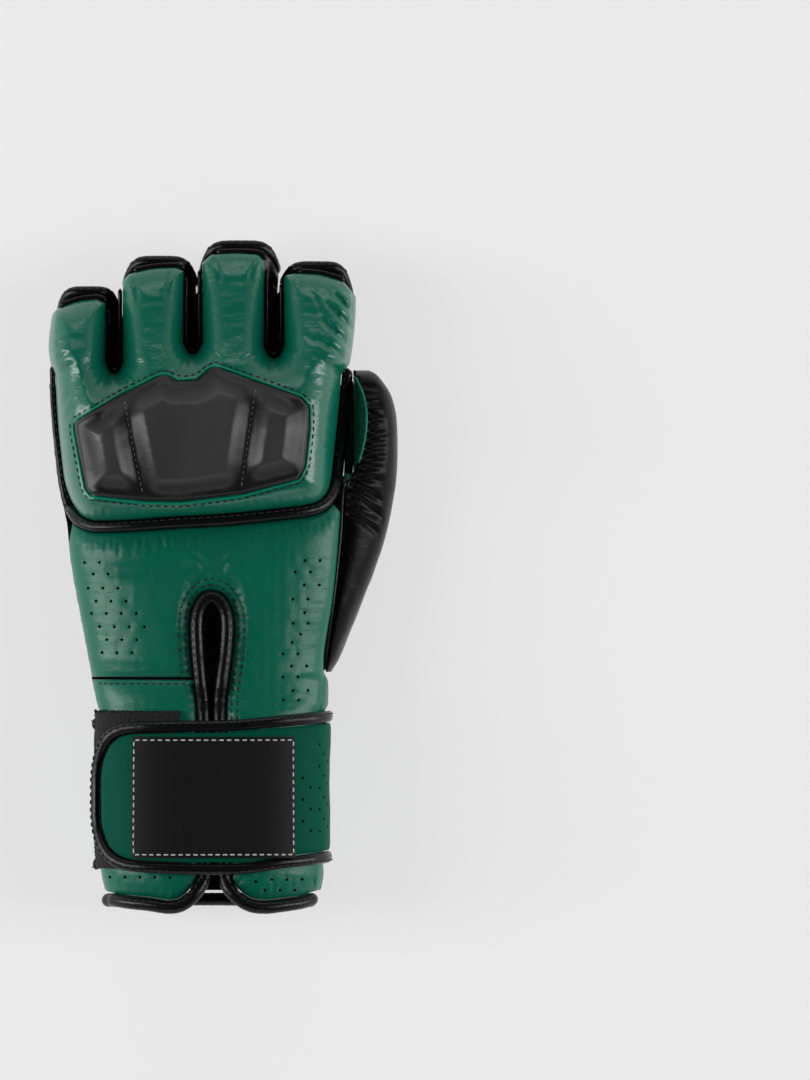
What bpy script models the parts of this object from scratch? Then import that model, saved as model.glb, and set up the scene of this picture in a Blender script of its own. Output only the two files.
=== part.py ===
"""Left-hand mma sparring glove, lying palm down.

Metres. +X points to the thumb, +Y to the fingertips, +Z up from the palm to the back of the hand.
The origin is on the floor, under the middle of the glove.
"""
import math
from collections import namedtuple

import bpy
from mathutils import Vector, geometry

MM = 0.001

# Driving sizes. Tables below give places across in percent of GLOVE_WIDTH from the middle, places along in
# percent of GLOVE_LENGTH from the middle, and heights in percent of PAD_HEIGHT from the floor.
GLOVE_LENGTH = 260 * MM
GLOVE_WIDTH = 135 * MM
PAD_HEIGHT = 60 * MM
THUMB_HEIGHT = 34 * MM

# Leather, padding and rolled edges
PALM_WALL = 2.0 * MM
TUBE_WALL = 1.8 * MM
THUMB_WALL = 5.0 * MM
WEB_WALL = 2.0 * MM
STRAP_WALL = 2.2 * MM
LOOP_WALL = 1.6 * MM
PATCH_WALL = 1.2 * MM
GUSSET_WALL = 1.5 * MM
KNUCKLE_RELIEF = 5.0 * MM
KNUCKLE_BORDER = 1.4 * MM
PANEL_BORDER = 2.6 * MM
PANEL_ROLL = 3.0 * MM
RIM_DROP = 1.5 * MM
CLEARANCE = 0.4 * MM
PANEL_SEAT = 0.9 * MM
PAD_EDGE = 1.6 * MM
BAND_LIFT = 0.6 * MM

# Rolled edges: half widths and half heights of their oval sections
PAD_BAND_HALF = 2.6 * MM
PAD_BAND_SIDE = 1.5 * MM
CUFF_BAND_HALF = 2.6 * MM
STRAP_BAND_HALF = 2.2 * MM
STRAP_BAND_RISE = 1.5 * MM
TIP_BAND_HALF = 2.3 * MM
PIPING_HALF = 0.9 * MM

# How far a pad takes to swell from its edge to its full height
KNUCKLE_SWELL = 20 * MM
LOW_SWELL = 12 * MM
FINGER_SWELL = 10.4 * MM
PANEL_SWELL = 8 * MM
LOBE_SWELL = 6 * MM

# Fineness of the faceted solids
GRID_STEP = 6.5 * MM
LINE_STEP = 5.0 * MM
PALM_SHAPE = 3.2
SLIVER = 1e-9

# The glove's body under the pad, in sections from the fingertips to the cuff
Section = namedtuple("Section", "along left right top side_left side_right floor hollow wall shape")
SECTIONS = [
    Section(50.0, -49.5, 38.5, 52, 40, 40, 1.0, 48.7, 1.5, 9),
    Section(41.1, -49.3, 38.2, 52, 40, 40, 1.0, 48.7, 1.5, 9),
    Section(35.2, -49.9, 37.3, 52, 40, 40, 0.5, 48.7, 1.5, 9),
    Section(30.1, -49.9, 36.5, 54, 38, 38, 0.5, 49.5, 2.0, 5),
    Section(26.3, -49.4, 36.0, 60, 35, 37, 0.5, 52, 3.5, 3.2),
    Section(20.4, -48.6, 35.1, 66, 33, 40, 0.5, 55, 3.7, 2.6),
    Section(14.4, -47.3, 34.2, 73, 33, 49, 0.5, 59, 3.7, 2.6),
    Section(8.5, -44.9, 33.5, 79, 35, 54, 0.5, 63, 3.7, 2.6),
    Section(2.6, -43.7, 32.6, 82, 37, 55, 0.5, 67, 3.7, 2.6),
    Section(-3.3, -41.7, 31.4, 83, 38, 55, 0.5, 68, 3.7, 2.6),
    Section(-10.7, -39.0, 29.1, 84, 42, 52, 0.5, 70, 3.7, 2.6),
    Section(-13.7, -37.9, 28.8, 85, 44, 50, 0.5, 71, 3.7, 2.6),
    Section(-15.2, -37.4, 30.0, 85, 45, 49, 0.8, 71, 3.7, 2.6),
    Section(-18.4, -36.2, 30.1, 87, 46, 47, 3.4, 73, 3.7, 2.6),
    Section(-20.2, -35.3, 28.9, 89, 47, 47, 6.2, 75, 3.7, 2.6),
    Section(-33.0, -35.3, 28.6, 92, 47, 47, 6.2, 78, 3.7, 2.6),
    Section(-43.3, -34.9, 28.7, 93, 47, 47, 6.2, 79, 3.7, 2.6),
    Section(-49.6, -31.7, 26.0, 92, 47, 47, 6.2, 78, 3.7, 2.6),
]

# Height of the pad's crown along the glove
Crown = namedtuple("Crown", "along height")
CROWNS = [
    Crown(50.0, 58), Crown(44.0, 66), Crown(38.0, 75), Crown(32.0, 86), Crown(27.0, 96),
    Crown(21.0, 100), Crown(14.0, 98), Crown(8.0, 94),
]

# Outline of the pad in plan, and the middle line of its rolled edge
PINKY_SIDE = [(-49.2, 31.6), (-49.8, 33.6), (-49.6, 36.0), (-48.8, 38.9)]
INDEX_SIDE = [(36.1, 31.6), (36.9, 34.0), (37.7, 38.0), (37.9, 41.6)]
PAD_BAND = [
    (-48.7, 30.0), (-48.6, 26.3), (-48.0, 21.9), (-47.3, 18.9), (-46.2, 14.4), (-44.5, 11.0), (-41.6, 8.6),
    (-37.4, 7.6), (-34.0, 7.5), (-27.1, 7.6), (-13.4, 8.1), (0.3, 8.5), (14.0, 9.2), (24.3, 9.9),
    (28.4, 10.7), (31.2, 12.3), (32.5, 14.6), (33.1, 17.4), (34.4, 23.3), (35.3, 29.2), (35.4, 30.0),
]

# A finger: edges of its tube at the root and at the tip, and how far along its tip lies
Finger = namedtuple("Finger", "name root_left root_right tip_left tip_right left_end crown_end right_end")
FINGERS = [
    Finger("pinky", -46.2, -31.5, -46.8, -29.9, 40.0, 42.3, 39.8),
    Finger("ring", -30.4, -9.2, -28.2, -7.7, 43.6, 46.8, 43.8),
    Finger("middle", -8.0, 13.9, -6.3, 15.8, 45.5, 49.1, 45.8),
    Finger("index", 15.1, 33.2, 16.8, 36.8, 43.8, 46.0, 41.3),
]
FINGER_ROOT = 29.4
FINGER_FLOOR = 4.2

# A gap between two fingers: its edges where the pad parts, and its rounded bottom
Slot = namedtuple("Slot", "left right bottom left_end right_end")
SLOTS = [
    Slot(-33.4, -28.6, 30.1, 40.6, 43.8),
    Slot(-11.3, -5.9, 33.0, 45.4, 46.6),
    Slot(11.7, 17.4, 32.4, 46.8, 44.6),
]
SLOT_TURN = 1.3
# Where the pad ends behind each finger's rolled edge
TIP_LINES = [
    [(-47.9, 39.6), (-44.3, 40.3), (-40.9, 40.9), (-36.0, 41.2)],
    [(-26.8, 44.9), (-20.3, 45.7), (-13.6, 45.9)],
    [(-3.3, 47.8), (3.7, 48.0), (10.0, 47.8)],
    [(20.0, 45.0), (27.7, 44.8), (34.6, 43.7)],
]

# The embossed panel on the pad, and the creases that part its lobes
KNUCKLE_OUTLINE = [
    (-41.9, 22.9), (-28.1, 27.1), (-17.5, 29.8), (-15.6, 29.8), (-13.1, 28.9), (-7.2, 29.1), (-3.8, 30.7),
    (-2.1, 31.1), (22.3, 26.5), (24.5, 25.2), (24.5, 22.0), (23.3, 16.4), (21.6, 14.6), (5.1, 12.3),
    (-12.1, 11.2), (-21.5, 11.3), (-37.2, 12.2), (-38.7, 13.1), (-41.9, 21.6),
]
KNUCKLE_CREASES = [[(-27.9, 25.9), (-25.4, 19.4), (-22.6, 12.6)], [(9.5, 27.6), (7.3, 20.4), (5.3, 13.4)]]

# The slit down the back, edged by the rolled cuff: the middle line of that edge, from the slit's top round
# the left flap, under the wrist, round the right flap and back
SLIT_LEFT = [(-3.3, -2.8), (-5.9, -3.9), (-7.3, -6.3), (-7.1, -10.7), (-6.3, -15.2), (-5.5, -19.6), (-5.0, -32.0),
             (-5.0, -42.5)]
FLAP_LEFT = [(-5.4, -44.6), (-7.6, -46.6), (-11.0, -48.2), (-15.1, -48.7), (-20.9, -48.3), (-26.6, -48.0),
             (-31.0, -47.7)]
FLAP_RIGHT = [(25.3, -47.6), (22.0, -48.1), (16.3, -48.5), (12.0, -48.7), (7.7, -48.4), (4.0, -47.2),
              (1.2, -45.4), (0.4, -42.5)]
SLIT_RIGHT = [(-0.4, -32.0), (-0.9, -19.6), (-0.2, -15.2), (0.9, -10.7), (1.2, -6.3), (-0.3, -3.9)]
CUFF_END = -47.8
BACK_END = -46.2
BACK_START = 9.6
WRIST_SEAM = -14.9
SEAM_GAP = 0.5

# The thumb: the seam between its black shell and the green leather, and its outer edge
Thumb = namedtuple("Thumb", "along seam outer top middle wrap")
THUMB = [
    Thumb(30.7, 37.6, 41.5, 52, 50, 1.0),
    Thumb(30.2, 37.6, 43.5, 68, 50, 1.0),
    Thumb(29.0, 38.4, 45.6, 82, 50, 1.0),
    Thumb(27.3, 39.8, 47.7, 92, 50, 1.0),
    Thumb(24.2, 40.8, 49.3, 100, 50, 1.0),
    Thumb(20.4, 40.2, 49.8, 101, 50, 1.0),
    Thumb(15.9, 37.6, 49.6, 101, 48, 1.0),
    Thumb(13.6, 35.0, 49.2, 100, 47, 0.0),
    Thumb(11.5, 34.4, 48.6, 98, 46, 0.0),
    Thumb(7.0, 34.0, 46.9, 96, 45, 0.0),
    Thumb(2.6, 33.2, 44.3, 96, 44, 0.0),
    Thumb(-3.3, 31.9, 40.0, 96, 43, 0.0),
    Thumb(-9.3, 30.3, 35.3, 93, 42, 0.0),
    Thumb(-12.2, 29.6, 33.0, 90, 41, 0.0),
    Thumb(-14.0, 29.2, 30.9, 86, 41, 0.0),
]
# Where the thumb's and the palm's cross sections lie
THUMB_ROWS = [-14.0, -12.2, -9.3, -4.0, 2.0, 7.0, 10.5, 12.8, 14.4, 16.2, 20.0, 24.0, 27.3, 29.2, 30.2, 30.7]
PALM_ROWS = [-46.3, -38.0, -28.0, -20.2, -18.4, -15.6, -13.6, -6.0, 1.0, 7.0, 11.5, 12.9, 14.4, 18.0, 23.0, 28.6]
THUMB_INNER = 37.1
TIP_TURN = 19.0
WEB_START = 15.2
WEB_END = 29.9
PALM_OPENS = 13.6
PALM_CLOSES = -14.7
PALM_TURN = 2.2

# The strap: its ends as angles round the wrist, and its edges along the glove
StrapEdge = namedtuple("StrapEdge", "angle upper lower")
STRAP_EDGES = [
    StrapEdge(-176, -20.9, -43.4), StrapEdge(-45, -20.4, -42.6), StrapEdge(0, -19.7, -42.2),
    StrapEdge(55, -20.3, -42.9), StrapEdge(85, -21.0, -43.9), StrapEdge(110, -21.2, -43.7),
    StrapEdge(134, -21.6, -43.1), StrapEdge(148, -23.4, -41.2), StrapEdge(157, -26.6, -38.0),
    StrapEdge(160, -29.4, -35.2),
]
STRAP_START = -176
STRAP_TURN = 134
STRAP_END = 159.5
LOOP_ANGLES = (100.5, 172.0)
LOOP_ALONG = (-19.7, -43.0)
PATCH_ANGLES = (50.5, 124.5)
PATCH_ALONG = (-23.5, -41.4)
LOOP_STEP = (82.0, 99.0)
GUSSET_HALF = 6.0
GUSSET_MIDDLE = -2.9
GUSSET_ALONG = (-2.6, -46.2)

GREEN = (0.004, 0.095, 0.048)
BLACK = (0.008, 0.008, 0.009)


def across(share):
    """A place across the glove, from percent of its width."""
    return GLOVE_WIDTH * share / 100


def along(share):
    """A place along the glove, from percent of its length."""
    return GLOVE_LENGTH * share / 100


def plan(points):
    """A line in plan, from percent of the glove's width and length."""
    return [Vector((across(x), along(y))) for x, y in points]


def read(table, column, key, place):
    """A table's column at a place, on a smooth curve through its rows."""
    rows = sorted(table, key=lambda row: getattr(row, key))
    keys = [getattr(row, key) for row in rows]
    values = [getattr(row, column) for row in rows]
    place = min(max(place, keys[0]), keys[-1])
    last = len(keys) - 1
    i = min(max(sum(1 for k in keys if k <= place) - 1, 0), last - 1)
    slopes = []
    for j in (i, i + 1):
        low, high = max(j - 1, 0), min(j + 1, last)
        slopes.append((values[high] - values[low]) / (keys[high] - keys[low]))
        if low < j < high and (values[high] - values[j]) * (values[j] - values[low]) <= 0:
            slopes[-1] = 0
    span = keys[i + 1] - keys[i]
    t = (place - keys[i]) / span
    start = (2 * t ** 3 - 3 * t ** 2 + 1) * values[i] + (t ** 3 - 2 * t ** 2 + t) * span * slopes[0]
    end = (3 * t ** 2 - 2 * t ** 3) * values[i + 1] + (t ** 3 - t ** 2) * span * slopes[1]
    return start + end


def body(column, y):
    """A column of the body's sections at a real place along the glove."""
    return read(SECTIONS, column, "along", 100 * y / GLOVE_LENGTH)


def height(share):
    return PAD_HEIGHT * share / 100


def smooth(t):
    t = min(max(t, 0), 1)
    return t * t * (3 - 2 * t)


def swell(distance, reach):
    """How much a pad has risen at a distance from its edge, from 0 to 1."""
    t = 1 - min(max(distance / reach, 0), 1)
    return math.sqrt(1 - t * t)


def arch(x, y, inset, top, drop=0.0):
    """Height of a vault over the hand, as wide as the body less an inset on each side."""
    left = across(body("left", y)) + inset
    right = across(body("right", y)) - inset
    middle = (left + right) / 2
    side = height(body("side_left" if x < middle else "side_right", y)) - drop
    share = min(abs(x - middle) / ((right - left) / 2), 1)
    shape = body("shape", y)
    return side + (top - side) * (1 - share ** shape) ** (1 / shape)


def back_height(x, y, inset=0.0):
    """Outer height of the glove's back under the pad."""
    return arch(x, y, inset, height(body("top", y)))


def hollow_height(x, y):
    """Height of the hollow's roof."""
    return arch(x, y, across(body("wall", y)), height(body("hollow", y)), RIM_DROP)


def back_normal(x, y, inset=0.0):
    """Direction out of the back, from its slope across and along."""
    step = 0.3 * MM
    slope_x = (back_height(x + step, y, inset) - back_height(x - step, y, inset)) / (2 * step)
    slope_y = (back_height(x, y + step, inset) - back_height(x, y - step, inset)) / (2 * step)
    return Vector((-slope_x, -slope_y, 1)).normalized()


def curve(points, step=LINE_STEP, closed=False):
    """A smooth line through points, cut into even steps."""
    count = len(points)
    fine = []
    for i in range(count if closed else count - 1):
        if closed:
            p = [points[(i + k) % count] for k in (-1, 0, 1, 2)]
        else:
            p = [points[min(max(i + k, 0), count - 1)] for k in (-1, 0, 1, 2)]
        for k in range(12):
            t = k / 12
            fine.append(0.5 * (2 * p[1] + (p[2] - p[0]) * t + (2 * p[0] - 5 * p[1] + 4 * p[2] - p[3]) * t ** 2
                               + (3 * p[1] - p[0] - 3 * p[2] + p[3]) * t ** 3))
    fine.append(fine[0].copy() if closed else points[-1].copy())
    lengths = [0.0]
    for a, b in zip(fine, fine[1:]):
        lengths.append(lengths[-1] + (b - a).length)
    cuts = max(2, round(lengths[-1] / step))
    line, k = [], 0
    for i in range(cuts if closed else cuts + 1):
        goal = lengths[-1] * i / cuts
        while k < len(fine) - 2 and lengths[k + 1] < goal:
            k += 1
        share = (goal - lengths[k]) / max(lengths[k + 1] - lengths[k], 1e-9)
        line.append(fine[k].lerp(fine[k + 1], min(share, 1)))
    return line


def shifted(line, distances):
    """A line in plan moved to its left by a distance, or by one for each of its points."""
    if not isinstance(distances, list):
        distances = [distances] * len(line)
    moved = []
    for i, (point, distance) in enumerate(zip(line, distances)):
        ahead = line[min(i + 1, len(line) - 1)] - line[max(i - 1, 0)]
        moved.append(point + Vector((-ahead.y, ahead.x)).normalized() * distance)
    return moved


def distance_to(point, lines):
    """Distance in plan from a point to the nearest of some lines."""
    nearest = 1.0
    for line in lines:
        for a, b in zip(line, line[1:]):
            run = b - a
            share = min(max((point - a).dot(run) / max(run.length_squared, 1e-12), 0), 1)
            nearest = min(nearest, (point - a - run * share).length)
    return nearest


def inside(point, outline):
    hit = False
    for a, b in zip(outline, outline[1:] + outline[:1]):
        if (a.y > point.y) != (b.y > point.y):
            if point.x < a.x + (b.x - a.x) * (point.y - a.y) / (b.y - a.y):
                hit = not hit
    return hit


def material(name, colour, roughness):
    made = bpy.data.materials.new(name)
    made.use_nodes = True
    shader = made.node_tree.nodes["Principled BSDF"]
    shader.inputs["Base Color"].default_value = (*colour, 1)
    shader.inputs["Roughness"].default_value = roughness
    shader.inputs["Metallic"].default_value = 0.0
    return made


def solid(name, points, faces, colour=BLACK, roughness=0.4):
    """One named object with its own material, from points and faces."""
    corners = [Vector(point) for point in points]
    volume = 0.0
    for face in faces:
        for b, c in zip(face[1:], face[2:]):
            volume += corners[face[0]].dot(corners[b].cross(corners[c]))
    if volume < 0:
        faces = [tuple(reversed(face)) for face in faces]
    mesh = bpy.data.meshes.new(name)
    mesh.from_pydata(corners, [], faces)
    mesh.materials.append(material(name, colour, roughness))
    mesh.shade_smooth()
    mesh.set_sharp_from_angle(angle=math.radians(50))
    made = bpy.data.objects.new(name, mesh)
    bpy.context.collection.objects.link(made)
    return made


def pad(name, outline, top, bottom, colour, rows=(1.2, 3.5, 7.0), creases=(), step=GRID_STEP):
    """A closed body over an outline in plan, between a top and a bottom height.

    rows are distances in from the outline, in millimetres, where the top gets a line of points.
    """
    closed = outline + outline[:1]
    points = list(outline)
    edges = [(i, (i + 1) % len(outline)) for i in range(len(outline))]
    for crease in creases:
        first = len(points)
        points += crease
        edges += [(first + i, first + i + 1) for i in range(len(crease) - 1)]
    fixed = len(points)

    def add(point, edge_room, room):
        if not inside(point, outline) or distance_to(point, [closed]) < edge_room:
            return
        if any((point - other).length < room for other in points[len(outline):]):
            return
        points.append(point)

    turn = 1 if sum(a.x * b.y - b.x * a.y for a, b in zip(closed, closed[1:])) > 0 else -1
    for row in rows:
        for i, point in enumerate(outline):
            ahead = (outline[(i + 1) % len(outline)] - outline[i - 1]).normalized()
            inward = Vector((-ahead.y, ahead.x)) * turn
            add(point + inward * row * MM, row * MM * 0.93, max(row * MM * 0.5, 0.45 * step))
    low = Vector((min(p.x for p in outline), min(p.y for p in outline)))
    high = Vector((max(p.x for p in outline), max(p.y for p in outline)))
    for i in range(int((high.x - low.x) / step) + 2):
        for j in range(int((high.y - low.y) / step) + 2):
            spot = low + Vector((i + 0.5 * (j % 2), j)) * step
            add(spot, (rows[-1] * MM + 0.6 * step) if rows else 0.5 * step, 0.7 * step)

    found = geometry.delaunay_2d_cdt(points, edges, [], 0, 1e-7)
    spots, triangles = found[0], []
    for face in found[2]:
        middle = sum((Vector(spots[i]) for i in face), Vector((0, 0))) / len(face)
        a, b, c = (spots[i] for i in face)
        around = (b[0] - a[0]) * (c[1] - a[1]) - (b[1] - a[1]) * (c[0] - a[0])
        if abs(around) > SLIVER and inside(middle, outline):
            triangles.append(tuple(face) if around > 0 else tuple(reversed(face)))
    used = sorted({i for face in triangles for i in face})
    number = {spot: i for i, spot in enumerate(used)}
    places = [Vector(spots[i]) for i in used]
    count = len(places)
    upper = [(p.x, p.y, top(p.x, p.y, distance_to(p, [closed]))) for p in places]
    lower = [(p.x, p.y, bottom(p.x, p.y)) for p in places]
    faces = [tuple(number[i] for i in face) for face in triangles]
    borders = {(face[i], face[(i + 1) % 3]) for face in faces for i in range(3)}
    faces += [tuple(count + i for i in reversed(face)) for face in faces[:]]
    faces += [(b, a, count + a, count + b) for a, b in sorted(borders) if (b, a) not in borders]
    return solid(name, upper + lower, faces, colour)


def shell(name, outer, inner, colour=BLACK, wrap=False, tip=False):
    """A wall between two grids of points, open or wrapped round, its last row zipped shut at a tip."""
    rows, columns = len(outer), len(outer[0])
    points = [point for row in outer for point in row] + [point for row in inner for point in row]
    skin = rows * columns

    def at(i, j, layer):
        return layer * skin + i * columns + j % columns

    faces = []
    for i in range(rows - 1):
        for j in range(columns if wrap else columns - 1):
            faces.append((at(i, j, 0), at(i, j + 1, 0), at(i + 1, j + 1, 0), at(i + 1, j, 0)))
            faces.append((at(i, j, 1), at(i + 1, j, 1), at(i + 1, j + 1, 1), at(i, j + 1, 1)))
    for j in range(columns if wrap else columns - 1):
        faces.append((at(0, j + 1, 0), at(0, j, 0), at(0, j, 1), at(0, j + 1, 1)))
        if not tip:
            faces.append((at(rows - 1, j, 0), at(rows - 1, j + 1, 0), at(rows - 1, j + 1, 1), at(rows - 1, j, 1)))
    end, far = rows - 1, columns - 1
    if tip:
        for j in range(far // 2):
            low, high = far - j, far - j - 1
            ring = [at(end, j, 0), at(end, j + 1, 0), at(end, high, 0), at(end, low, 0)]
            faces.append(tuple(dict.fromkeys(ring)))
            ring = [at(end, low, 1), at(end, high, 1), at(end, j + 1, 1), at(end, j, 1)]
            faces.append(tuple(dict.fromkeys(ring)))
        faces.append((at(end, 0, 0), at(end, far, 0), at(end, far, 1), at(end, 0, 1)))
    if not wrap:
        for i in range(rows - 1):
            faces.append((at(i, 0, 0), at(i + 1, 0, 0), at(i + 1, 0, 1), at(i, 0, 1)))
            faces.append((at(i + 1, far, 0), at(i, far, 0), at(i, far, 1), at(i + 1, far, 1)))
    return solid(name, points, faces, colour)


def roll(name, path, normals, half_widths, half_height, sides=8, closed=False):
    """A rolled edge or a piping: an oval section swept along a path, of one half width or one for each point."""
    count = len(path)
    points = []
    if not isinstance(half_widths, list):
        half_widths = [half_widths] * count
    for i, point in enumerate(path):
        if closed:
            ahead = path[(i + 1) % count] - path[i - 1]
        else:
            ahead = path[min(i + 1, count - 1)] - path[max(i - 1, 0)]
        ahead.normalize()
        side = ahead.cross(normals[i]).normalized()
        up = side.cross(ahead)
        for k in range(sides):
            angle = 2 * math.pi * (k + 0.5) / sides
            points.append(point + side * half_widths[i] * math.cos(angle) + up * half_height * math.sin(angle))
    faces = []
    for i in range(count if closed else count - 1):
        for k in range(sides):
            a, b = i * sides + k, i * sides + (k + 1) % sides
            c, d = (i + 1) % count * sides + (k + 1) % sides, (i + 1) % count * sides + k
            faces.append((d, c, b, a))
    if not closed:
        faces.append(tuple(range(sides)))
        faces.append(tuple(reversed(range((count - 1) * sides, count * sides))))
    return solid(name, points, faces)


def raised(line, lift, inset=0.0):
    """A line in plan laid on the back, lifted along the way out of it, with those directions."""
    path, normals = [], []
    for point in line:
        normal = back_normal(point.x, point.y, inset)
        path.append(Vector((point.x, point.y, back_height(point.x, point.y, inset) + lift)))
        normals.append(normal)
    return path, normals


def pad_top(x, y, distance):
    """Height of the knuckle pad's top."""
    share = 100 * y / GLOVE_LENGTH
    rise = smooth((share - 27) / 7)
    reach = KNUCKLE_SWELL + (FINGER_SWELL - KNUCKLE_SWELL) * rise
    if share < 16:
        reach -= (KNUCKLE_SWELL - LOW_SWELL) * smooth((16 - share) / 5)
    edge = max(back_height(x, y, PAD_BAND_HALF), hollow_height(x, y) + PAD_EDGE)
    crown = height(read(CROWNS, "height", "along", share))
    return edge + max(crown - edge, 0) * swell(distance, reach)


def band_half(point):
    """Half width of the pad's rolled edge, which is slimmer up the little finger's side."""
    turned = smooth((100 * point.y / GLOVE_LENGTH - 9) / 6) if point.x < 0 else 0
    return PAD_BAND_HALF + (PAD_BAND_SIDE - PAD_BAND_HALF) * turned


def beside_band(side):
    """A line along the pad's rolled edge, clear of it on one side."""
    line = curve(plan(PAD_BAND), step=5 * MM)
    return shifted(line, [side * (band_half(point) + CLEARANCE) for point in line])


def pad_outline():
    """The pad's outline in plan: round each finger lobe and gap, then back along its rolled edge."""
    edge = beside_band(1)
    line = curve(plan(PINKY_SIDE))
    for i, tip in enumerate(TIP_LINES):
        line += curve(plan(tip))
        if i < len(SLOTS):
            slot = SLOTS[i]
            middle = (slot.left + slot.right) / 2
            bend = (slot.right - slot.left) / 4
            line += curve(plan([(slot.left, slot.left_end), (slot.left, slot.bottom + 3 * SLOT_TURN)]))
            line += curve(plan([(slot.left, slot.bottom + 1.4 * SLOT_TURN), (middle - bend, slot.bottom + 0.3 * SLOT_TURN),
                                (middle, slot.bottom), (middle + bend, slot.bottom + 0.3 * SLOT_TURN),
                                (slot.right, slot.bottom + 1.4 * SLOT_TURN)]), step=1.6 * MM)
            line += curve(plan([(slot.right, slot.bottom + 3 * SLOT_TURN), (slot.right, slot.right_end)]))
    line += curve(plan(INDEX_SIDE[::-1]))
    return line + edge[::-1]


def knuckle_pad():
    outline = pad_outline()
    pad("knuckle_pad", outline, pad_top, hollow_height, GREEN, rows=(1.0, 3.2, 7.0))
    return outline


def knuckle_panel(outline):
    """Black panel on the pad: a flat border and three swollen lobes between two creases."""
    rim = plan(KNUCKLE_OUTLINE)
    line = []
    for a, b in zip(rim, rim[1:] + rim[:1]):
        cuts = max(1, round((b - a).length / (6 * MM)))
        line += [a.lerp(b, k / cuts) for k in range(cuts)]
    creases = [curve(plan(points), step=6 * MM) for points in KNUCKLE_CREASES]
    pad_edge = outline + outline[:1]

    def base(x, y):
        return pad_top(x, y, distance_to(Vector((x, y)), [pad_edge])) + PANEL_SEAT

    def top(x, y, distance):
        near = min(distance - PANEL_BORDER, distance_to(Vector((x, y)), creases))
        return base(x, y) + KNUCKLE_BORDER + (KNUCKLE_RELIEF - KNUCKLE_BORDER) * swell(near, LOBE_SWELL)

    return pad("knuckle_panel", line, top, base, BLACK, rows=(3.0, 5.5), creases=creases, step=5.5 * MM)


def pad_binding():
    line = curve(plan(PAD_BAND), step=5 * MM)
    path, normals = raised(line, BAND_LIFT, inset=PAD_BAND_HALF - CLEARANCE / 2)
    halves = [band_half(point) - CLEARANCE for point in line]
    roll("pad_binding", path, normals, halves, 0.75 * PAD_BAND_HALF)


def slot_pipings():
    """A thin piping round each gap between two finger lobes."""
    for i, slot in enumerate(SLOTS):
        inset = 100 * (PIPING_HALF + CLEARANCE) / GLOVE_WIDTH
        left, right = slot.left + inset, slot.right - inset
        middle = (left + right) / 2
        line = curve(plan([(left, slot.left_end - 1.5), (left, slot.bottom + 4.0), (left, slot.bottom + 2.2),
                           (middle - 0.8, slot.bottom + 1.0), (middle, slot.bottom + 0.85),
                           (middle + 0.8, slot.bottom + 1.0),
                           (right, slot.bottom + 2.2), (right, slot.bottom + 4.0), (right, slot.right_end - 1.5)]),
                     step=2.6 * MM)
        path = [Vector((p.x, p.y, back_height(p.x, p.y) + 0.2 * MM)) for p in line]
        roll(f"slot_piping_{i + 1}", path, [Vector((0, 0, 1))] * len(path), PIPING_HALF, PIPING_HALF, sides=6)


def finger_ring(finger, share, angle, inset):
    """A point on a finger's tube: share 0 at the root, 1 at the tip, angle from the right side over the top."""
    left = across(finger.root_left + (finger.tip_left - finger.root_left) * share) + inset
    right = across(finger.root_right + (finger.tip_right - finger.root_right) * share) - inset
    low = height(body("floor", 0.3 * GLOVE_LENGTH)) * (1 - share) + height(FINGER_FLOOR) * share + inset
    high = height(body("hollow", 0.4 * GLOVE_LENGTH)) - CLEARANCE - inset
    power = 2 / 2.8
    c, s = math.cos(angle), math.sin(angle)
    x = (left + right) / 2 + (right - left) / 2 * math.copysign(abs(c) ** power, c)
    z = (low + high) / 2 + (high - low) / 2 * math.copysign(abs(s) ** power, s)
    side = finger.left_end + (finger.right_end - finger.left_end) * (1 + c) / 2
    rise = 1 - c ** 4 if s > 0 else 0
    end = along(side + (finger.crown_end - side) * rise - 0.8 * max(-s, 0))
    start = along(FINGER_ROOT)
    return x, start + (end - start) * share, z


def fingers():
    """Each finger's leather tube and the rolled edge round its opening."""
    sides = 14
    for finger in FINGERS:
        back = TIP_BAND_HALF + 4 * CLEARANCE
        grids = []
        for inset in (0.0, TUBE_WALL):
            grid = []
            for row in range(4):
                ring = []
                for k in range(sides):
                    angle = 2 * math.pi * k / sides
                    share = 0.001 + row / 3
                    x, y, z = finger_ring(finger, min(share, 1), angle, inset)
                    ring.append(Vector((x, y - back * row / 3, z)))
                grid.append(ring[::-1])
            grids.append(grid)
        shell(f"{finger.name}_tube", grids[0], grids[1], wrap=True)
        ring_sides = 18
        path, normals = [], []
        for k in range(ring_sides):
            angle = 2 * math.pi * k / ring_sides
            path.append(Vector(finger_ring(finger, 1, angle, 0.2 * TIP_BAND_HALF + TUBE_WALL / 2)))
            normals.append(Vector((math.cos(angle), 0, math.sin(angle))))
        roll(f"{finger.name}_binding", path, normals, TIP_BAND_HALF, TIP_BAND_HALF, sides=6, closed=True)


def slit_line():
    """The middle line of the rolled cuff edge on the back: right flap, round the slit, left flap."""
    return curve(plan(FLAP_RIGHT + SLIT_RIGHT + SLIT_LEFT + FLAP_LEFT), step=6.0 * MM)


def silhouette(column, start, end, inset=0.0):
    """The body's outer line in plan between two places along it."""
    cuts = max(2, round(abs(end - start) * GLOVE_LENGTH / 100 / (6.5 * MM)))
    line = []
    for i in range(cuts + 1):
        y = along(start + (end - start) * i / cuts)
        line.append(Vector((across(body(column, y)) + inset, y)))
    return line


def panel_top(edges):
    """Height of a padded panel of the back, which rolls down at its inner edges."""
    def top(x, y, distance):
        near = distance_to(Vector((x, y)), edges)
        return back_height(x, y) - PANEL_ROLL * (1 - swell(near, PANEL_SWELL))
    return top


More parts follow.
